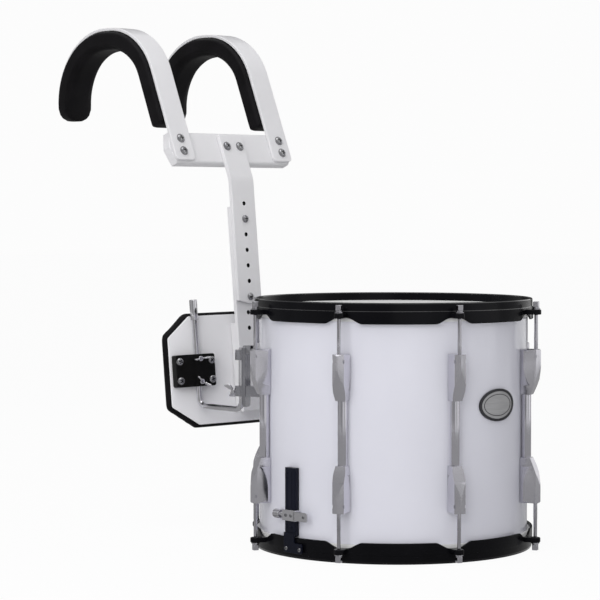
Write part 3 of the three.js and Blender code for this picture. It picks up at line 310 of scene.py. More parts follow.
def slab(name, points, axis, level, depth, edge=0, segments=2, sharp=40):
    """An outline across an axis, at a level on it, pushed out along it and eased."""
    push = [0, 0, 0]
    push[axis] = depth
    outline(name, [(*point[:axis], level, *point[axis:]) for point in points])
    bpy.ops.mesh.extrude_region_move(TRANSFORM_OT_translate={"value": push})
    piece = close_up(30)
    return eased(piece, edge, segments, sharp) if edge else piece


def arc(centre, radius, start, end, steps):
    """Points on an arc, as plain pairs, between two angles in degrees."""
    turns = [math.radians(start + (end - start) * step / steps) for step in range(steps + 1)]
    return [(centre[0] + radius * math.cos(t), centre[1] + radius * math.sin(t)) for t in turns]


def rounded(corners, radius, steps=6):
    """The outline of a plate with every corner of it rounded by the same radius."""
    points = []
    previous, following = [corners[-1], *corners[:-1]], [*corners[1:], corners[0]]
    for before, corner, after in zip(previous, corners, following):
        corner = Vector(corner)
        came, goes = (corner - Vector(before)).normalized(), (Vector(after) - corner).normalized()
        half = came.angle(goes) / 2
        centre = corner + (goes - came).normalized() * radius / math.cos(half)
        spoke = corner - came * radius * math.tan(half) - centre
        swing = math.copysign(2 * half, came.x * goes.y - came.y * goes.x)
        for step in range(steps + 1):
            points.append(tuple(centre + Matrix.Rotation(swing * step / steps, 2) @ spoke))
    return points


def box_of(y, z):
    """The four corners of a plate from its two limits each way."""
    return [(y[0], z[0]), (y[1], z[0]), (y[1], z[1]), (y[0], z[1])]


def banded(piece, axis, places):
    """Cut across into narrow bands, so that it can be bent."""
    take(piece)
    normal = Vector((0, 0, 0))
    normal[axis] = 1
    bpy.ops.object.mode_set(mode="EDIT")
    for spot_at in places:
        bpy.ops.mesh.select_all(action="SELECT")
        bpy.ops.mesh.bisect(plane_co=normal * spot_at, plane_no=normal)
    bpy.ops.object.mode_set(mode="OBJECT")
    return piece


def join_all(pieces):
    """Pieces become one, under the name of the first."""
    let_go()
    for piece in pieces:
        piece.select_set(True)
    bpy.context.view_layer.objects.active = pieces[0]
    bpy.ops.object.join()
    return pieces[0]


def cut(piece, *tools, smooth=40):
    """Tools are taken out of a piece, and then dropped."""
    for tool in tools:
        modify(piece, "BOOLEAN", object=tool, operation="DIFFERENCE", solver="EXACT")
    drop(*tools)
    return shaded(piece, smooth)


rod_angles = [22.5 + 45 * step for step in range(8)]
black_gloss = finish_of(
    "black_hoop", (0.003, 0.003, 0.004), (0.0045, 0.0045, 0.006), gloss=(0.16, 0.26), bump=0.02,
    scales=(12, 300), specular=0.1,
)
rod_circle, ear_radius, ear_root = 0.197, 0.00675, 0.1836
ear_foot, ear_thickness = 0.3095, 0.0065
ear_points = [(ear_root, ear_radius), (ear_root, -ear_radius)]
ear_points += arc((rod_circle, 0), ear_radius, -90, 90, 20)
ear = slab("hoop_ear", ear_points, Z, ear_foot, ear_thickness, edge=0.0012, segments=3)
hoop_foot, arch_end, arch_below = 0.302, 0.0272, -0.004
arch_flat, arch_run, half_rise = 0.006, 0.021, 0.0038
arch_side = []
for step in range(13):
    rise = half_rise * (1 + math.cos(math.pi * step / 12)) - 0.00002 * step
    arch_side.append((arch_flat + arch_run * step / 12, rise))
arch_points = [(-arch_end, arch_below), (arch_end, arch_below), *reversed(arch_side)]
arch_points += [(-across, rise) for across, rise in arch_side]
arch = slab("hoop_arch", [(y, hoop_foot + z) for y, z in arch_points], X, 0.1785, 0.012)
hoop = turned(
    "batter_hoop_cast",
    [
        (0.1822, hoop_foot), (0.1845, hoop_foot), (0.1850, 0.3026), (0.1850, 0.3170),
        (0.1847, 0.3177), (0.1842, 0.3180), (0.1840, 0.3186), (0.1840, 0.3276),
        (0.1834, 0.3287), (0.1822, 0.3290), (0.1808, 0.3287), (0.1802, 0.3278),
        (0.1802, 0.3143), (0.1822, 0.3143),
    ],
    steps=fine_steps,
)
arches = join_all([copy_to(arch, "arches", around(angle)) for angle in rod_angles])
cut(hoop, arches, smooth=35)
ears = [copy_to(ear, "ears", around(angle)) for angle in rod_angles]
hoop = place(join_all([hoop, *ears]), on_axis)
fit(hoop, "drum", "black_hoop", black_gloss, "batter_hoop")
# Faces that slope upward above the ledge get a full coat and a lighter black: a painted highlight
# along the ledge.
ledge_gloss_and_highlight = finish_of(
    "black_hoop_ledge_highlight", (0.008, 0.008, 0.010), (0.012, 0.012, 0.014), gloss=(0.22, 0.34),
    bump=0.02, coat=1,
)
hoop.data.materials.append(ledge_gloss_and_highlight)
ledge_height, least_slope, most_slope = 0.3175, 0.12, 0.97
for face in hoop.data.polygons:
    if least_slope < face.normal.z < most_slope and face.center.z > ledge_height:
        face.material_index = 1
turn_over = at(0, 0, 2 * drum_middle) @ Matrix.Scale(-1, 4, (0, 0, 1))
lower_hoop = copy_to(hoop, "snare_side_hoop_cast", turn_over)
fit(lower_hoop, "drum", "black_hoop", black_gloss, "snare_side_hoop")
drop(ear, arch)

# LUGS
# Each lug is two ridged castings on one bright tube, screwed to the shell from inside.
# The castings are chromed, with four long facets and a small pocket at each shoulder.
chrome = finish_of(
    "chrome", (0.73, 0.725, 0.76), (0.64, 0.635, 0.665), metallic=1, gloss=(0.08, 0.18),
    bump=0.003,
)
cast_chrome = finish_of(
    "cast_chrome", (0.69, 0.68, 0.73), (0.61, 0.603, 0.648), metallic=1, gloss=(0.13, 0.24),
    bump=0.003, scales=(14, 700),
)
# A near-black finish for hole walls and screw recesses: painted shade, standing in for the shadow
# inside them.
painted_shade_hole = finish_of(
    "painted_shade_hole", (0.01, 0.01, 0.011), (0.016, 0.016, 0.017), gloss=(0.6, 0.8), specular=0.2,
)


def barrel(name, spot_at, radius, length, along="Z", sides=32, edge=0.0003, segments=2):
    """A round bar with softened rims, centred on its place."""
    let_go()
    turns = {"X": (0, math.pi / 2, 0), "Y": (math.pi / 2, 0, 0), "Z": (0, 0, 0)}
    bpy.ops.mesh.primitive_cylinder_add(
        vertices=sides, radius=radius, depth=length, location=spot_at, rotation=turns[along]
    )
    piece = bpy.context.active_object
    piece.name = piece.data.name = name
    bpy.ops.object.transform_apply(location=True, rotation=True, scale=True)
    return eased(piece, edge, segments, 50) if edge else shaded(piece)


def brick(name, centre, size, edge=0, segments=2):
    """A block with its size and centre, and its edges rounded."""
    x, y, z = (side / 2 for side in size)
    corners = box_of((centre[0] - x, centre[0] + x), (centre[1] - y, centre[1] + y))
    return slab(name, corners, Z, centre[2] - z, 2 * z, edge=edge, segments=segments)


def within(piece, *tools):
    """Only what lies inside every tool is kept of a piece, and the tools are dropped."""
    for tool in tools:
        modify(piece, "BOOLEAN", object=tool, operation="INTERSECT", solver="EXACT")
    drop(*tools)
    return piece


plan_half = [(0.1781, 0.0070), (0.1831, 0.0096), (0.1996, 0.0078), (0.2036, 0.0010)]
plan = [(x, -y) for x, y in plan_half] + list(reversed(plan_half))
casting = slab("casting", plan, Z, 0.2045, 0.061)
casting_top, shoulder_z, waist_z, taper = 0.2645, 0.2625, 0.24385, 0.03835
casting_half, casting_reach, casting_root = 0.0096, 0.2036, 0.170
shares = [step / 10 for step in range(11)]
front_half = [(casting_half - 0.0028 * s**2, waist_z - taper * s) for s in shares]
front = [(-0.0076, casting_top), (0.0076, casting_top), (casting_half, shoulder_z)]
front += [*front_half, *[(-y, z) for y, z in reversed(front_half)], (-casting_half, shoulder_z)]
side_view = [(casting_root, 0.2055), (casting_root, casting_top), (0.2016, casting_top)]
side_view += [(casting_reach, shoulder_z)]
side_view += [(casting_reach - 0.012 * s**1.5, waist_z - taper * s) for s in shares]
within(casting, slab("front", front, X, 0.165, 0.045), slab("side", side_view, Y, -0.012, 0.024))
pocket_size = (0.004, 0.0034, 0.0042)
pockets = [brick("pocket", (0.2000, y, 0.2555), pocket_size) for y in (0.0082, -0.0082)]
cut(casting, *pockets, barrel("bore", (rod_circle, 0, 0.2545), 0.0029, 0.0215, edge=0))
eased(casting, 0.0009, 3, sharp=28, smooth=36)
tube_reach = 0.1844
tube = barrel("tube", (tube_reach, 0, drum_middle), 0.0063, 0.09, sides=40)
lug = join_all([casting, copy_to(casting, "low", turn_over), tube])
for number, angle in enumerate(rod_angles, 1):
    one = copy_to(lug, f"lug_{number}_cast", on_drum(angle))
    fit(one, "drum", "chrome", cast_chrome, f"lug_{number}")
drop(lug)

# TENSION RODS
# Each rod is a chromed steel screw with a square head for the drum key and a washer.
# It goes through the hoop's ear into its lug, and its thread starts half way down.
square = ((0.0035, 0.0035), (-0.0035, 0.0035), (-0.0035, -0.0035), (0.0035, -0.0035))
key_foot, key_height = 0.3191, 0.0074
ridge_foot, ridge_pitch, ridge_radius = 0.2655, 0.0008, 0.00262
key_points = [(rod_circle + x, y) for x, y in square]
rod_parts = [
    slab("rod_head", key_points, Z, key_foot, key_height, edge=0.0007, segments=3),
    barrel("washer", (rod_circle, 0, 0.3169), 0.0056, 0.0012),
    barrel("collar", (rod_circle, 0, 0.3185), 0.0043, 0.0020, edge=0.0005),
    barrel("shank", (rod_circle, 0, 0.2805), 0.0024, 0.0750, sides=24),
]
for step in range(26):
    spot_at = (rod_circle, 0, ridge_foot + ridge_pitch * step)
    rod_parts.append(barrel("thread", spot_at, ridge_radius, 0.0004, sides=16, edge=0))
rod = join_all(rod_parts)
rod_steel = finish_of(
    "rod_steel", (0.56, 0.553, 0.595), (0.45, 0.444, 0.475), metallic=1, gloss=(0.1, 0.2),
    bump=0.004,
)
for number, angle in enumerate(rod_angles, 1):
    upper = copy_to(rod, f"batter_rod_{number}_screw", on_drum(angle))
    fit(upper, "drum", "chrome", rod_steel, f"batter_rod_{number}")
    lower = copy_to(upper, f"snare_rod_{number}_screw", turn_over)
    fit(lower, "drum", "chrome", rod_steel, f"snare_rod_{number}")
drop(rod)

# STRAINER
# A black bar on the shell guides a chromed carriage, whose fluted nut sets the snares.
# The guide is a black steel plate that steps over the lower hoop, held by two screws.
bolt_steel = finish_of(
    "bolt_steel", (0.42, 0.42, 0.43), (0.3, 0.3, 0.32), metallic=1, gloss=(0.14, 0.26), bump=0.03,
    scales=(120, 600),
)


def domed_bolt(name, radius=0.0055, height=0.0036, washer=0.0):
    """A bright bolt standing on the ground plane: a domed head whose cross recess is painted dark
    as painted shade.
    """
    foot = -0.0004
    turns = [math.radians(15 * step) for step in range(6)]
    dome = [(radius * math.cos(t), height * (0.3 + 0.7 * math.sin(t))) for t in turns]
    head = turned(name, [(radius, foot), *dome, (0, height), (0, foot)], steps=28)
    slot_long, slot_wide = radius * 1.15, radius * 0.24
    slots = ((slot_long, slot_wide, height), (slot_wide, slot_long, height))
    cut(head, *[brick("slot", (0, 0, height * 1.12), size) for size in slots], smooth=32)
    head.data.materials.append(bolt_steel)
    head.data.materials.append(painted_shade_hole)
    # The recess walls and floor take the near-black finish: painted shade, for the shadow inside
    # the recess.
    for face in head.data.polygons:
        wall = abs(face.normal.z) < 0.2 and math.hypot(*face.center.xy) < radius * 0.9
        if wall or (face.normal.z > 0.99 and face.center.z < height * 0.9):
            face.material_index = 1
    if washer:
        ring = barrel("washer", (0, 0, 0.0002), washer, 0.0012, sides=28)
        ring.data.materials.append(bolt_steel)
        head = join_all([head, ring])
    return head


face_on = Matrix.Rotation(math.pi / 2, 4, "Y")


def screw_row(name, x, z, height, *across):
    """Domed bolts side by side on a face that looks along +X, joined to one piece."""
    row = []
    for y, radius in across:
        row.append(place(domed_bolt(name, radius, height), at(x, y, z) @ face_on))
    return join_all(row)


strainer = on_drum(-47.5)
rail_half, rail_foot, rail_height = 0.0095, 0.0285, 0.0875
rail_points = rounded(box_of((0.1781, 0.1863), (-rail_half, rail_half)), 0.0015, 4)
rail = slab("strainer_bar", rail_points, Z, rail_foot, rail_height, edge=0.0005)
groove_size = (0.0014, 0.0012, 0.075)
cut(rail, *[brick("groove", (0.1866, y, 0.0745), groove_size) for y in (-0.0045, 0.0045)])
black_bracket = finish_of(
    "black_bracket", (0.0045, 0.0055, 0.012), (0.0065, 0.0075, 0.016), gloss=(0.22, 0.34),
    bump=0.03, specular=0.15,
)
fit(place(rail, strainer), "drum", "black_bracket", black_bracket, "strainer_rail")

slide_z, nut_reach = 0.055, 0.18425
channel = [(0.1788, -0.0120), (0.1888, -0.0120), (0.1888, 0.0120), (0.1788, 0.0120)]
channel += [(0.1788, 0.0098), (0.1866, 0.0098), (0.1866, -0.0098), (0.1788, -0.0098)]
tab = rounded(box_of((0.0087, 0.0349), (0.0491, 0.0609)), 0.0025)
carriage_parts = [
    slab("carriage", channel, Z, 0.048, 0.014, edge=0.0006, segments=3),
    slab("tab", tab, X, 0.1868, 0.002, edge=0.0005),
]
carriage = place(join_all(carriage_parts), strainer)
fit(carriage, "strainer_slide", "chrome", chrome, "strainer_slide")
row = screw_row(
    "carriage_screws", 0.1887, slide_z, 0.0013,
    (-0.0048, 0.0024), (0.0048, 0.0024), (0.0285, 0.0020),
)
fit(place(row, strainer), "strainer_slide", "chrome", None)

flutes = []
for step in range(96):
    turn = 2 * math.pi * step / 96
    radius = 0.0056 + 0.00022 * math.cos(16 * turn)
    flutes.append((nut_reach + radius * math.cos(turn), slide_z + radius * math.sin(turn)))
nut_parts = [
    slab("nut", flutes, Y, -0.0188, -0.0110, edge=0.0006, segments=3, sharp=60),
    barrel("neck", (nut_reach, -0.0150, slide_z), 0.0034, 0.0090, along="Y"),
    barrel("stem", (nut_reach, -0.0110, slide_z), 0.0024, 0.0130, along="Y"),
]
nut = place(join_all(nut_parts), strainer)
fit(nut, "strainer_thumbscrew", "chrome", chrome, "strainer_thumbscrew")

step_plate = [
    (-0.0095, 0.007), (0.0230, 0.007), (0.0245, 0.0085), (0.0245, 0.0185), (0.0230, 0.020),
    (0.0110, 0.020), (0.0098, 0.0206), (0.0095, 0.0215), (0.0095, 0.033), (-0.0095, 0.033),
]
guide = slab("strainer_foot", step_plate, X, 0.1853, 0.0028, edge=0.0006)
fit(place(guide, strainer), "drum", "black_bracket", black_bracket, "strainer_guide")
row = screw_row("guide_screw", 0.1881, 0.0125, 0.0016, (-0.0043, 0.0026), (0.0205, 0.0026))
fit(place(row, strainer), "drum", "chrome", None)

# SNARES AND BUTT
# Twelve coiled steel strands are soldered to two end plates under the snare-side head.
# Their cloth tapes end in the butt, a chromed clamp plate with two screws.
snare_steel = finish_of(
    "snare_steel", (0.5, 0.5, 0.51), (0.4, 0.4, 0.42), metallic=1, gloss=(0.25, 0.4), bump=0.03
)
coil_radius, wire_half, coil_turns, coil_steps = 0.00072, 0.0003, 170, 1020
strand_length, strand_gap, strand_count, snare_z = 0.304, 0.0036, 12, 0.0083
outline("strand", [(coil_radius, 0, wire_half), (0.00045, 0, 0), (coil_radius, 0, -wire_half)])
bpy.ops.mesh.delete(type="ONLY_FACE")
strand = close_up()
modify(
    strand, "SCREW", angle=2 * math.pi * coil_turns, screw_offset=strand_length,
    steps=coil_steps, render_steps=coil_steps, use_normal_calculate=True,
)
strands = []
for step in range(strand_count):
    start = (-strand_length / 2, strand_gap * (step - (strand_count - 1) / 2), snare_z)
    strands.append(copy_to(strand, "strands", at(*start) @ face_on))
drop(strand)
end_size = (0.0138, 0.043, 0.0018)
plates = [
    brick("plate", (side * strand_length / 2, 0, snare_z), end_size, edge=0.0004)
    for side in (-1, 1)
]
snares = place(join_all([*plates, *strands]), on_drum(-45))
fit(snares, "drum", "snare_steel", snare_steel, "snare_wires")

butt_at = on_drum(135)
butt_points = rounded(box_of((-0.015, 0.015), (0.041, 0.063)), 0.004)
butt = slab("snare_butt_plate", butt_points, X, 0.1781, 0.007, edge=0.001, segments=3)
cut(butt, brick("jaw", (0.1851, 0, 0.0465), (0.007, 0.036, 0.0016)))
fit(place(butt, butt_at), "drum", "chrome", chrome, "snare_butt")
row = screw_row("butt_screws", 0.1850, 0.0545, 0.0016, (-0.008, 0.003), (0.008, 0.003))
fit(place(row, butt_at), "drum", "chrome", None)

# BADGE
# A thin oval plate glued to the shell: a dark raised rim round a bare brushed field.
# It bends with the shell, and the brushing runs along it.
rim_dark = finish_of(
    "badge_rim", (0.03, 0.03, 0.035), (0.05, 0.05, 0.055), metallic=0.6, gloss=(0.25, 0.35),
    bump=0.02,
)
brushed = finish_of(
    "badge_metal", (0.42, 0.42, 0.43), (0.5, 0.5, 0.51), metallic=0.8, gloss=(0.3, 0.5),
    scales=(40, 260), bump=0.1, stretch=(1, 1, 14),
)
badge_at, badge_z = on_drum(46), 0.1964


def oval(half_wide, half_tall):
    """A tool that cuts an oval through the shell's side."""
    turns = [2 * math.pi * step / 96 for step in range(96)]
    rim_at = [(half_wide * math.cos(t), badge_z + half_tall * math.sin(t)) for t in turns]
    return slab("oval", rim_at, X, 0.165, 0.03)


def oval_of(name, inner, outer, outside, *inside):
    """A piece of tube on +X, kept inside one oval and cut out by another."""
    profile_at = [(inner, 0.17), (outer, 0.17), (outer, 0.223), (inner, 0.223)]
    piece = turned(name, profile_at, steps=32, through=28)
    place(piece, Matrix.Rotation(math.radians(14), 4, "Z"))
    within(piece, oval(*outside))
    return cut(piece, *[oval(*size) for size in inside])


rim = oval_of("badge_rim", 0.1781, 0.1804, (0.0335, 0.0208), (0.0301, 0.0175))
eased(rim, 0.0006, 3, sharp=50)
field = oval_of("badge_field", 0.1782, 0.1797, (0.0303, 0.0177))
line = oval_of("badge_line", 0.1790, 0.1800, (0.0262, 0.0140), (0.0254, 0.0132))
fit(place(field, badge_at), "drum", "badge_metal", brushed, "badge")
fit(place(join_all([rim, line]), badge_at), "drum", "badge_metal", rim_dark)

# BARS OF THE CARRIER
# The lower bar and the T-bar are flat aluminium, drilled at one pitch and bolted together.
# The T-bar is bent back over the chest, and both are powder coated in satin white.
bar_back, bar_lift, t_bend_z = 0.2788, 0.3, 0.188
bar_lean, yoke_lean = math.radians(5.6), math.radians(16.4)
bar_frame = at(drum_x, drum_y + bar_back, bar_lift) @ Matrix.Rotation(-bar_lean, 4, "X")
yoke_frame = bar_frame @ at(0, -0.0003, t_bend_z) @ Matrix.Rotation(-yoke_lean, 4, "X")
white_paint = finish_of(
    "white_paint", (0.83, 0.825, 0.84), (0.79, 0.785, 0.80), gloss=(0.28, 0.42),
    scales=(11, 520), bump=0.05, coat=0.15,
)
# The belly plate gets a lighter copy of the white paint: painted light, lifting the shade that
# the drum and bars cast on it.
plate_paint_with_painted_light = finish_of(
    "plate_paint_with_painted_light", (0.93, 0.925, 0.94), (0.89, 0.885, 0.90), gloss=(0.3, 0.45),
    scales=(9, 520), bump=0.05,
)
bar_half, hole_pitch, hole_radius = 0.022, 0.022, 0.0031


def drilled(piece, heights, depth):
    """Round holes through a bar, one above the other."""
    holes = [barrel("hole", (0, 0, z), hole_radius, depth, along="Y", edge=0) for z in heights]
    return cut(piece, join_all(holes))


def darken(piece, heights, reach=0.0034):
    """The walls of the holes are painted near black: painted shade, for the shadow that lies in
    them.
    """
    piece.data.materials.append(painted_shade_hole)
    for face in piece.data.polygons:
        if abs(face.normal.y) < 0.3 and any(
            math.hypot(face.center.x, face.center.z - z) < reach for z in heights
        ):
            face.material_index = 1


lower_holes = [-hole_pitch + hole_pitch * step for step in range(8)]
lower_corners = box_of((-bar_half, bar_half), (-0.139, 0.150))
lower_bar = slab("lower_bar_flat", lower_corners, Y, 0, 0.006, edge=0.0008, segments=3)
standoff = brick("standoff", (0, 0.0119, -0.0735), (0.038, 0.0126, 0.119), edge=0.0012)
standoff = drilled(standoff, lower_holes, 0.06)
lower_bar = join_all([drilled(lower_bar, lower_holes, 0.03), standoff])
fit(lower_bar, "carrier", "white_paint", white_paint, "lower_bar")
darken(lower_bar, lower_holes)
place(lower_bar, bar_frame)

bend_axis, bend_inside, bend_outside, t_foot, t_top = 0.0297, 0.030, 0.036, 0.008, 0.066
run = bend_inside * math.tan(yoke_lean / 2)
outer, inner = [], []
for step in range(13):
    turn = yoke_lean * step / 12
    for points, radius in ((outer, bend_outside), (inner, bend_inside)):
        depth, height = radius * math.cos(turn), radius * math.sin(turn)
        points.append((bend_axis - depth, t_bend_z - run + height))
rest = t_top - run
for points in (outer, inner):
    y, z = points[-1]
    points.append((y + rest * math.sin(yoke_lean), z + rest * math.cos(yoke_lean)))
t_side = [(-0.0003, t_foot), (-0.0063, t_foot), *outer, *reversed(inner)]
t_bar = slab("t_bar_flat", t_side, X, -bar_half, 2 * bar_half)
take(t_bar)
bpy.ops.object.mode_set(mode="EDIT")
bpy.ops.mesh.select_all(action="SELECT")
bpy.ops.mesh.bisect(
    plane_co=(bar_half, 0, t_foot), plane_no=(-0.2, 0, -0.98), clear_outer=True, use_fill=True
)
close_up(30)
modify(t_bar, "BEVEL", width=0.0008, segments=3, angle_limit=math.radians(40))
t_holes = [hole_pitch * (step + 1) for step in range(7)]
drilled(t_bar, t_holes, 0.04)
fit(t_bar, "carrier", "white_paint", white_paint, "t_bar")
darken(t_bar, t_holes)
place(t_bar, bar_frame)

to_front = Matrix.Rotation(math.pi / 2, 4, "X")
to_back = Matrix.Rotation(-math.pi / 2, 4, "X")
for node, z in (("t_bar_bolt_lower", 0.022), ("t_bar_bolt_upper", 0.132)):
    head = domed_bolt(node + "_head", 0.0054, 0.0036)
    place(head, bar_frame @ at(0, -0.0064, z) @ to_front)
    fit(head, "carrier", "bolt_steel", None)
    shank = barrel("shank", (0, 0.0045, z), 0.0028, 0.022, along="Y")
    let_go()
    bpy.ops.mesh.primitive_cylinder_add(vertices=6, radius=0.0054, depth=0.0045)
    hexagon = bpy.context.active_object
    modify(hexagon, "BEVEL", width=0.0005, segments=2)
    place(hexagon, at(0, 0.0089, z) @ to_back)
    bolt = place(join_all([shank, hexagon]), bar_frame)
    bolt.name = node + "_screw"
    fit(bolt, "carrier", "bolt_steel", bolt_steel, node)

# CROSSBAR
# A pressed aluminium tray that lies across the chest, with rolled edges and blunt ends.
# Both hooks and the T-bar are bolted to its front by bright round-head bolts.
tray_half, tray_foot, tray_height, tray_middle = 0.116, 0.025, 0.047, 0.0485
lip_y, lip_radius, tray_back, cut_depth, cut_rise = 0.0043, 0.004, 0.0143, 0.0235, 0.0075
tray_side = [(tray_back, 0), *arc((lip_y, 0.004), lip_radius, -90, -180, 8)]
tray_side += [*arc((lip_y, 0.043), lip_radius, 180, 90, 8), (tray_back, tray_height)]
tray_side = [(y, tray_foot + z) for y, z in tray_side]
tray = slab("crossbar_tray", tray_side, X, -tray_half, 2 * tray_half)
take(tray)
bpy.ops.object.mode_set(mode="EDIT")
for side in (-1, 1):
    for half in (-1, 1):
        bpy.ops.mesh.select_all(action="SELECT")
        bpy.ops.mesh.bisect(
            plane_co=(side * tray_half, 0, tray_middle),
            plane_no=(side * cut_depth, 0, half * cut_rise),
            clear_outer=True,
            use_fill=True,
        )
close_up(30)
hollow_size = (0.211, 0.020, 0.041)
cut(tray, brick("hollow", (0, 0.0133, tray_middle), hollow_size, edge=0.003, segments=4))
eased(tray, 0.0007, 3, sharp=35, smooth=35)
fit(place(tray, yoke_frame), "carrier", "white_paint", white_paint, "crossbar")

strap_bolt_x, on_strap, on_t_bar = 0.0955, -0.0047, -0.0062
places = [(x, on_strap, z) for x in (-strap_bolt_x, strap_bolt_x) for z in (0.060, 0.0412)]
places += [(x, on_t_bar, 0.049) for x in (-0.0120, 0.0125)]
yoke_bolts = []
bolt = domed_bolt("yoke_bolt", 0.0059, 0.0036, washer=0.0067)
for x, y, z in places:
    twist = Matrix.Rotation(x * 40 + z * 90, 4, "Z")
    spot_at = yoke_frame @ at(x, y, z) @ to_front @ twist
    yoke_bolts.append(copy_to(bolt, "yoke_bolts", spot_at))
drop(bolt)
fit(join_all(yoke_bolts), "carrier", "bolt_steel", None)


# SHOULDER HOOKS
# Two flat aluminium straps, bent over the shoulders, with rounded ends and soft edges.
# Under each lies a thick foam pad in a black skin, glued along the strap.
def along(start, legs, distance, side):
    """A point of a side view: a way along a bent route, and a way to its right."""
    y, z, heading = start
    for number, (length, turn) in enumerate(legs):
        step = distance if number == len(legs) - 1 else min(distance, length)
        if turn:
            radius = length / turn
            swept = heading + step / radius
            y += radius * (math.cos(heading) - math.cos(swept))
            z += radius * (math.sin(swept) - math.sin(heading))
            heading = swept
        else:
            y += step * math.sin(heading)
            z += step * math.cos(heading)
        distance -= step
        if distance <= 0:
            break
    return y + side * math.cos(heading), z - side * math.sin(heading)


shoulder, hook_x, upright = math.radians(68), 0.0945, 0.137
hook_legs = [(upright, 0), (0.095 * shoulder, shoulder), (0.012, 0)]
hook_legs += [(0.05 * math.pi, math.pi / 2), (0.008, 0)]
hook_length = sum(length for length, turn in hook_legs)


def hung(piece):
    """A straight piece is bent over the shoulder: its height becomes a way along the route."""
    for vertex in piece.data.vertices:
        x, side, way = vertex.co
        vertex.co = (x, *along((0, 0.028, 0), hook_legs, way, side))
    return piece


strap_half, strap_thick = 0.018, 0.0045
strap_plan = rounded(box_of((-strap_half, strap_half), (0, hook_length)), 0.007, 8)
strap = slab(
    "strap", strap_plan, Y, -strap_thick, strap_thick, edge=0.0009, segments=3, sharp=50
)
bands = [upright + (hook_length - 0.145) * step / 64 for step in range(65)]
shaded(hung(banded(strap, Z, bands)), 32)
sides = (("left", -1), ("right", 1))
on_hooks = [(side, yoke_frame @ at(sign * hook_x, 0, 0)) for side, sign in sides]
for side, hook_at in on_hooks:
    one = copy_to(strap, f"hook_strap_{side}_flat", hook_at)
    fit(one, "carrier", "white_paint", white_paint, f"hook_strap_{side}")
drop(strap)

foam = finish_of(
    "pad_foam", (0.0032, 0.0028, 0.0036), (0.0068, 0.006, 0.0074), gloss=(0.45, 0.65),
    scales=(30, 1500), bump=0.35, specular=0.13, sheen=0.012,
)
voxel, pressure, frames, across_share = 0.004, 4, 20, 0.3


def plump(piece, cap, seat):
    """The skin is blown up by a cloth pass, less at the sides, and the seat stays flat."""
    modify(piece, "REMESH", mode="VOXEL", voxel_size=voxel)
    rest_at = [(vertex.co.copy(), vertex.normal.copy()) for vertex in piece.data.vertices]
    take(piece)
    cloth = piece.modifiers.new("skin", "CLOTH")
    cloth.settings.use_pressure = True
    cloth.settings.uniform_pressure_force = pressure
    cloth.settings.effector_weights.gravity = 0
    cloth.point_cache.frame_start, cloth.point_cache.frame_end = 1, frames
    for step in range(1, frames + 1):
        bpy.context.scene.frame_set(step)
    bpy.ops.object.modifier_apply(modifier="skin")
    bpy.context.scene.frame_set(1)
    for vertex, (rested, outward) in zip(piece.data.vertices, rest_at):
        lift = 0 if seat(rested) else min(cap, max(0, (vertex.co - rested).dot(outward)))
        push = Vector((across_share * outward.x, outward.y, across_share * outward.z))
        vertex.co = rested + push * lift
    modify(piece, "SUBSURF", levels=1, render_levels=1)
    bpy.ops.object.shade_smooth()
    return piece


pad_from, corner_radius, end_radius = 0.051, 0.0045, 0.020
pad_length = hook_length + 0.018 - pad_from
pad_top = pad_length - end_radius
pad_plan = [
    *arc((-0.0200, 0.0105), corner_radius, 180, 270, 4),
    *arc((0.0200, 0.0105), corner_radius, 270, 360, 4),
    *arc((0.0045, pad_top), end_radius, 0, 90, 8),
    *arc((-0.0045, pad_top), end_radius, 90, 180, 8),
]
pad_plan = [(x, pad_from + way) for x, way in pad_plan]
pad = slab("pad", pad_plan, Y, 0.0006, 0.0222, edge=0.0028, segments=3)
hung(plump(pad, 0.0042, lambda rested: rested.y < 0.004))
for side, hook_at in on_hooks:
    one = copy_to(pad, f"shoulder_pad_{side}_foam", hook_at)
    fit(one, "carrier", "pad_foam", foam, f"shoulder_pad_{side}")
drop(pad)

# BELLY PLATE
# A curved aluminium plate with clipped corners, fixed over the stand-off of the lower bar.
# A foam pad of the same outline is glued to its back and shows as a black border.
plate_radius, plate_front, plate_drop = 0.380, 0.0185, 0.077
plate_points = [(-0.089, 0.076), (-0.123, 0.047), (-0.123, -0.049), (-0.082, -0.076)]
plate_points += [(-x, z) for x, z in reversed(plate_points)]


def curled(piece, front):
    """A flat piece is bent round an upright axis behind the plate."""
    for vertex in piece.data.vertices:
        x, y, z = vertex.co
        reach, turn = plate_radius - front - y, x / plate_radius
        bent_y = plate_front + plate_radius - reach * math.cos(turn)
        vertex.co = (reach * math.sin(turn), bent_y, z - plate_drop)
    return piece


plate_face = rounded(plate_points, 0.005)
plate = slab("belly_plate_sheet", plate_face, Y, 0, 0.003, edge=0.0007, segments=3, sharp=50)
shaded(curled(banded(plate, X, [0.0062 * step for step in range(-19, 20)]), 0), 32)
# The plate wears the lightened copy of the white paint: painted light against its shade.
fit(place(plate, bar_frame), "carrier", "white_paint", plate_paint_with_painted_light, "belly_plate")

wider, taller, crown = 1.040, 1.056, 0.004
cushion_face = rounded([(x * wider, z * taller) for x, z in plate_points], 0.007)
cushion = slab("belly_cushion", cushion_face, Y, 0.0004, 0.0125, edge=0.0016, sharp=50)
plump(cushion, crown, lambda rested: rested.y < 0.0035)
curled(cushion, 0.0033)
fit(place(cushion, bar_frame), "carrier", "pad_foam", foam, "belly_pad")

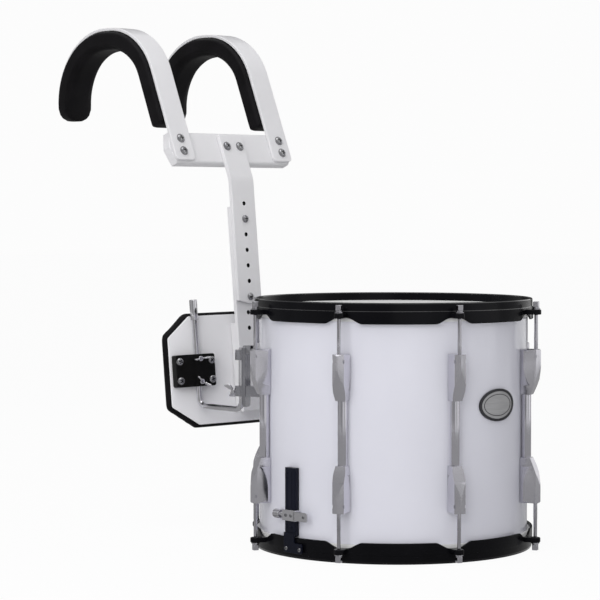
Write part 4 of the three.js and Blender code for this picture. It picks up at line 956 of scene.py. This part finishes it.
# J-RODS
# Two chromed steel rods are bent in one plane: down through the clamps, across, and up.
# A turned sleeve is pressed on the upper end, and the short legs stand in the receivers.
eye_reach, bore_depth, rod_half = 0.2206, 0.0215, 0.004
rod_top_z, elbow, crossing_z, short_top = 0.318, 0.012, 0.172, 0.257
rod_across = eye_reach * math.sin(math.radians(22.5))
rod_near = eye_reach * math.cos(math.radians(22.5))
above = (rod_top_z - bar_lift + bore_depth * math.sin(bar_lean)) / math.cos(bar_lean)
rod_top = bar_back + bore_depth * math.cos(bar_lean) + above * math.sin(bar_lean)
leg = (rod_top_z - elbow * (1 - math.sin(bar_lean)) - crossing_z) / math.cos(bar_lean)
bend_end = rod_top - leg * math.sin(bar_lean) - elbow * math.cos(bar_lean)
rod_legs = [
    (leg, 0),
    (elbow * (math.pi / 2 - bar_lean), math.pi / 2 - bar_lean),
    (bend_end - rod_near - elbow, 0),
    (elbow * math.pi / 2, math.pi / 2),
    (short_top - crossing_z - elbow, 0),
]
rod_start = (rod_top, rod_top_z, math.pi + bar_lean)
ways = [0, 0.02]
reached = 0
for length, turn in rod_legs:
    parts = 12 if turn else 1
    ways += [reached + length * (part + 1) / parts for part in range(parts)]
    reached += length
for side, sign in sides:
    let_go()
    curve = bpy.data.curves.new(f"j_rod_{side}_bent", "CURVE")
    curve.dimensions = "3D"
    curve.bevel_depth = rod_half
    curve.bevel_resolution = 6
    curve.use_fill_caps = True
    spline = curve.splines.new("POLY")
    spline.points.add(len(ways) - 1)
    for point, way in zip(spline.points, ways):
        y, z = along(rod_start, rod_legs, way, 0)
        point.co = (sign * rod_across, y, z, 1)
    bent = bpy.data.objects.new(f"j_rod_{side}_bent", curve)
    bpy.context.collection.objects.link(bent)
    take(bent)
    bpy.ops.object.convert(target="MESH")
    eased(bent, 0.001, 3, sharp=60)
    fittings = [
        barrel("sleeve", (0, 0, -0.0131), 0.0054, 0.029, edge=0.0012, segments=3),
        barrel("collar", (0, 0, -0.0262), 0.0058, 0.0024, edge=0.0006),
    ]
    rod_head = at(sign * rod_across, rod_top, rod_top_z) @ Matrix.Rotation(-bar_lean, 4, "X")
    ends = [place(one, rod_head) for one in fittings]
    rod = place(join_all([bent, *ends]), on_axis)
    fit(rod, "j_rods", "chrome", chrome, f"j_rod_{side}")

# ROD CLAMPS
# Moulded black blocks grip the J-rods on the belly plate, each held by four bright bolts.
# Two chromed wing screws in each block bear on the rod and set the drum's height.
black_plastic = finish_of(
    "black_plastic", (0.003, 0.003, 0.003), (0.0045, 0.0045, 0.0045), gloss=(0.32, 0.45),
    bump=0.06, scales=(30, 900), specular=0.15,
)
clamp_turn = math.asin(0.08902 / plate_radius)
rod_from_front, thumb_gap, block_depth = 0.0070142, 0.0003, 0.013
on_plate = bar_frame @ at(0, 0, -plate_drop)


def wing_screw(name, stem):
    """A wing screw standing on the ground plane, with its stem below."""
    half_wing = [
        (0.0019, 0.0018), (0.0106, 0.0027), (0.0126, 0.0042), (0.0130, 0.0058),
        (0.0128, 0.0095), (0.0122, 0.0119), (0.0112, 0.0129), (0.0100, 0.0128),
        (0.0086, 0.0115), (0.0064, 0.0100), (0.0038, 0.0089), (0.0019, 0.0050),
    ]
    points = [(-x, z) for x, z in half_wing[::-1]] + half_wing
    wings = slab(name, points, Y, -0.0012, 0.0024, edge=0.0009, segments=3)
    hub = barrel("hub", (0, 0, 0.00275), 0.0037, 0.0055, edge=0.0009, segments=3)
    stem = barrel("stem", (0, 0, 0.001 - stem / 2), 0.0023, stem + 0.002, sides=20)
    return join_all([wings, hub, stem])


face = rounded(box_of((-0.03075, 0.03075), (-0.0225, 0.0225)), 0.003)
for side, sign in sides:
    block = slab("clamp_block", face, Y, -block_depth, block_depth, edge=0.0008, segments=3)
    twist = Matrix.Rotation(sign * clamp_turn, 4, "Z")
    turn_out = at(sign * 0.08909, 0.02878, 0) @ twist
    place(block, turn_out)
    slot_x = sign * (rod_across - 0.019)
    cut(
        block,
        barrel("bore", (sign * rod_across, bore_depth, 0), 0.00435, 0.06, edge=0),
        brick("slot", (slot_x, 0.0226, 0), (0.038, 0.0009, 0.06)),
    )
    for part, z, screw_turn in (("upper", 0.0158, 6), ("lower", -0.0158, -35)):
        on_rod = at(sign * rod_across, bore_depth, z - plate_drop) @ twist
        lifted = at(0, 0, rod_from_front + thumb_gap)
        turned_by = Matrix.Rotation(math.radians(screw_turn), 4, "Z")
        screw = wing_screw(f"clamp_screw_{side}_{part}_wing", 0.003)
        place(screw, bar_frame @ (on_rod @ to_front @ lifted @ turned_by))
        fit(screw, f"clamp_screw_{side}_{part}", "chrome", chrome, f"clamp_screw_{side}_{part}")
    place(block, on_plate)
    block.name = f"rod_clamp_{side}_block"
    fit(block, "carrier", "black_plastic", black_plastic, f"rod_clamp_{side}")
    heads = []
    for x in (-0.025, 0.025):
        for z in (-0.0135, 0.0132):
            head = domed_bolt("clamp_bolt", 0.0054, 0.0034)
            spot_at = on_plate @ turn_out @ at(x, -0.0131, z)
            place(head, spot_at @ to_front @ Matrix.Rotation(x * 50 + z * 70, 4, "Z"))
            heads.append(head)
    fit(join_all(heads), "carrier", "bolt_steel", None)

# RECEIVERS
# A chromed bracket hangs on each rear lug: a spine with two blocks and two open eyes.
# The short leg of a J-rod drops through the eyes, and a wing screw holds it.
eye_z, low_eye_z, eye_height = 0.247, 0.1975, 0.014
spine_face = rounded(box_of((-0.009, 0.009), (0.176, 0.260)), 0.005)
bracket = slab("bracket", spine_face, X, 0.2113, 0.004)
extras = [
    brick("upper_block", (0.20805, 0, 0.2545), (0.0083, 0.016, 0.011)),
    brick("lower_block", (0.1988, 0, low_eye_z), (0.0288, 0.016, eye_height)),
]
for z in (eye_z, low_eye_z):
    extras.append(barrel("eye", (eye_reach, 0, z), 0.009, eye_height, sides=48, edge=0))
    extras.append(brick("web", (0.21795, 0, z), (0.0055, 0.0153, eye_height)))
for extra in extras:
    modify(bracket, "BOOLEAN", object=extra, operation="UNION", solver="EXACT")
drop(*extras)
cut(
    bracket,
    barrel("saddle", (tube_reach, 0, low_eye_z), 0.0066, 0.02, sides=40, edge=0),
    barrel("bore", (eye_reach, 0, 0.218), 0.005, 0.10, sides=40, edge=0),
    barrel("thread", (0.2252, 0, low_eye_z), 0.0027, 0.012, along="X", edge=0),
)
eased(bracket, 0.0007)
receiver_chrome = finish_of(
    "receiver_chrome", (0.42, 0.42, 0.45), (0.34, 0.34, 0.37), metallic=1, gloss=(0.14, 0.26),
    bump=0.004,
)
for side, sign in sides:
    receiver_at = on_drum(-135 - sign * 22.5)
    one = copy_to(bracket, f"receiver_{side}_bracket", receiver_at)
    fit(one, "drum", "chrome", receiver_chrome, f"receiver_{side}")
    thumb_turn = Matrix.Rotation(math.radians(90 - sign * 42), 4, "Z")
    thumb_at = receiver_at @ at(0.2299, 0, low_eye_z) @ face_on @ thumb_turn
    screw = place(wing_screw(f"receiver_screw_{side}_wing", 0.005), thumb_at)
    fit(screw, f"receiver_screw_{side}", "chrome", chrome, f"receiver_screw_{side}")
drop(bracket)


# STUDIO
# A pale floor that keeps the drum's shadow, a white surround and two soft lamps.
# Grey and dark boards round the drum give the chrome and the black coat something to show.
def seen_plain(tree):
    """One for what the camera sees, straight, in a reflection or through clear matter."""
    paths = tree.nodes.new("ShaderNodeLightPath")
    result = paths.outputs["Is Camera Ray"]
    for label in ("Is Glossy Ray", "Is Transmission Ray"):
        larger = tree.nodes.new("ShaderNodeMath")
        larger.operation = "MAXIMUM"
        tree.links.new(result, larger.inputs[0])
        tree.links.new(paths.outputs[label], larger.inputs[1])
        result = larger.outputs[0]
    return result


let_go()
bpy.ops.mesh.primitive_plane_add(size=30, location=(0, 0, 0))
floor = bpy.context.active_object
floor.name = "floor"
floor_grey, clear_share = 0.78, 0.95
floor_paint = bpy.data.materials.new("floor_paint")
floor_paint.use_nodes = True
floor_tree = floor_paint.node_tree
floor_shader = floor_tree.nodes["Principled BSDF"]
floor_shader.inputs["Base Color"].default_value = (floor_grey, floor_grey, floor_grey, 1)
floor_shader.inputs["Roughness"].default_value = 0.9
floor_glow = floor_tree.nodes.new("ShaderNodeEmission")
floor_glow.inputs["Strength"].default_value = 1
share = floor_tree.nodes.new("ShaderNodeMath")
share.operation = "MULTIPLY"
share.inputs[1].default_value = clear_share
floor_mix = floor_tree.nodes.new("ShaderNodeMixShader")
for source, target in (
    (seen_plain(floor_tree), share.inputs[0]),
    (share.outputs[0], floor_mix.inputs["Fac"]),
    (floor_shader.outputs["BSDF"], floor_mix.inputs[1]),
    (floor_glow.outputs["Emission"], floor_mix.inputs[2]),
    (floor_mix.outputs["Shader"], floor_tree.nodes["Material Output"].inputs["Surface"]),
):
    floor_tree.links.new(source, target)
floor.data.materials.append(floor_paint)

world = bpy.data.worlds.new("surround")
bpy.context.scene.world = world
world.use_nodes = True
sky = world.node_tree
room = sky.nodes["Background"]
room.inputs["Color"].default_value = (0.78, 0.78, 0.8, 1)
room.inputs["Strength"].default_value = 0.56
plain = sky.nodes.new("ShaderNodeBackground")
plain.inputs["Color"].default_value = (0.975, 0.975, 0.975, 1)
pick = sky.nodes.new("ShaderNodeMixShader")
for source, target in (
    (seen_plain(sky), pick.inputs["Fac"]),
    (room.outputs["Background"], pick.inputs[1]),
    (plain.outputs["Background"], pick.inputs[2]),
    (pick.outputs["Shader"], sky.nodes["World Output"].inputs["Surface"]),
):
    sky.links.new(source, target)

# Upright boards in a ring with one gap, one overhead and one below, seen by reflections alone
board_reach, board_half, board_foot, board_height = 3.6, 0.97, 0.02, 3.2
overhead_z, below_z = 3.4, 0.003
boards = (0.08, 0.34, 0.27, 0.42, 0.36, 0.26, 0.72, 0.52, None, 0.42, 0.95, 0.08)
for number, grey in enumerate([*boards, 0.5, 0.36]):
    if grey is None:
        continue
    let_go()
    bpy.ops.mesh.primitive_plane_add(size=1, location=(0, 0, 0))
    board = bpy.context.active_object
    board.name = f"board_{number}"
    if number < len(boards):
        turn = math.radians(30 * number - 210)
        for vertex, (across, up) in zip(board.data.vertices, ((-1, 0), (1, 0), (-1, 1), (1, 1))):
            x = board_reach * math.sin(turn) + across * board_half * math.cos(turn)
            y = -board_reach * math.cos(turn) + across * board_half * math.sin(turn)
            vertex.co = (x, y, board_foot + board_height * up)
    else:
        level = overhead_z if number == len(boards) else below_z
        board.data.transform(at(0, 0, level) @ Matrix.Scale(5, 4))
    paint = bpy.data.materials.new(board.name)
    paint.use_nodes = True
    glow = paint.node_tree.nodes.new("ShaderNodeEmission")
    glow.inputs["Color"].default_value = (grey, grey, grey, 1)
    surface = paint.node_tree.nodes["Material Output"].inputs["Surface"]
    paint.node_tree.links.new(glow.outputs["Emission"], surface)
    board.data.materials.append(paint)
    board.visible_camera = False
    board.visible_diffuse = False
    board.visible_shadow = False
    board.visible_transmission = False

for name, lamp_at, aim, energy, reach in (
    ("key_lamp", (-2.8, -1.3, 1.6), (0, -0.1, 0.35), 48, 2.4),
    ("top_lamp", (-0.6, -0.4, 3.0), (0, 0, 0.3), 24, 2.0),
):
    lamp_data = bpy.data.lights.new(name, "AREA")
    lamp_data.energy = energy
    lamp_data.size = reach
    lamp = bpy.data.objects.new(name, lamp_data)
    bpy.context.scene.collection.objects.link(lamp)
    lamp.location = lamp_at
    lamp.rotation_euler = (Vector(aim) - Vector(lamp_at)).to_track_quat("-Z", "Y").to_euler()
    lamp.visible_glossy = name == "top_lamp"

# A long lens just above the drum, turned 45 degrees to its front
view_focal, view_height, view_down = 137.4, 0.449, math.radians(2.33)
camera_data = bpy.data.cameras.new("camera")
camera = bpy.data.objects.new("camera", camera_data)
bpy.context.scene.collection.objects.link(camera)
camera_data.sensor_width = 36
camera_data.lens = view_focal
camera_data.clip_end = 50
camera.location = (drum_x - 2.2373, drum_y - 2.0619, view_height)
level_part = math.cos(view_down) / math.sqrt(2)
looking = Vector((level_part, level_part, -math.sin(view_down)))
camera.rotation_euler = looking.to_track_quat("-Z", "Y").to_euler()
bpy.context.scene.camera = camera
bpy.context.scene.view_settings.view_transform = "Standard"
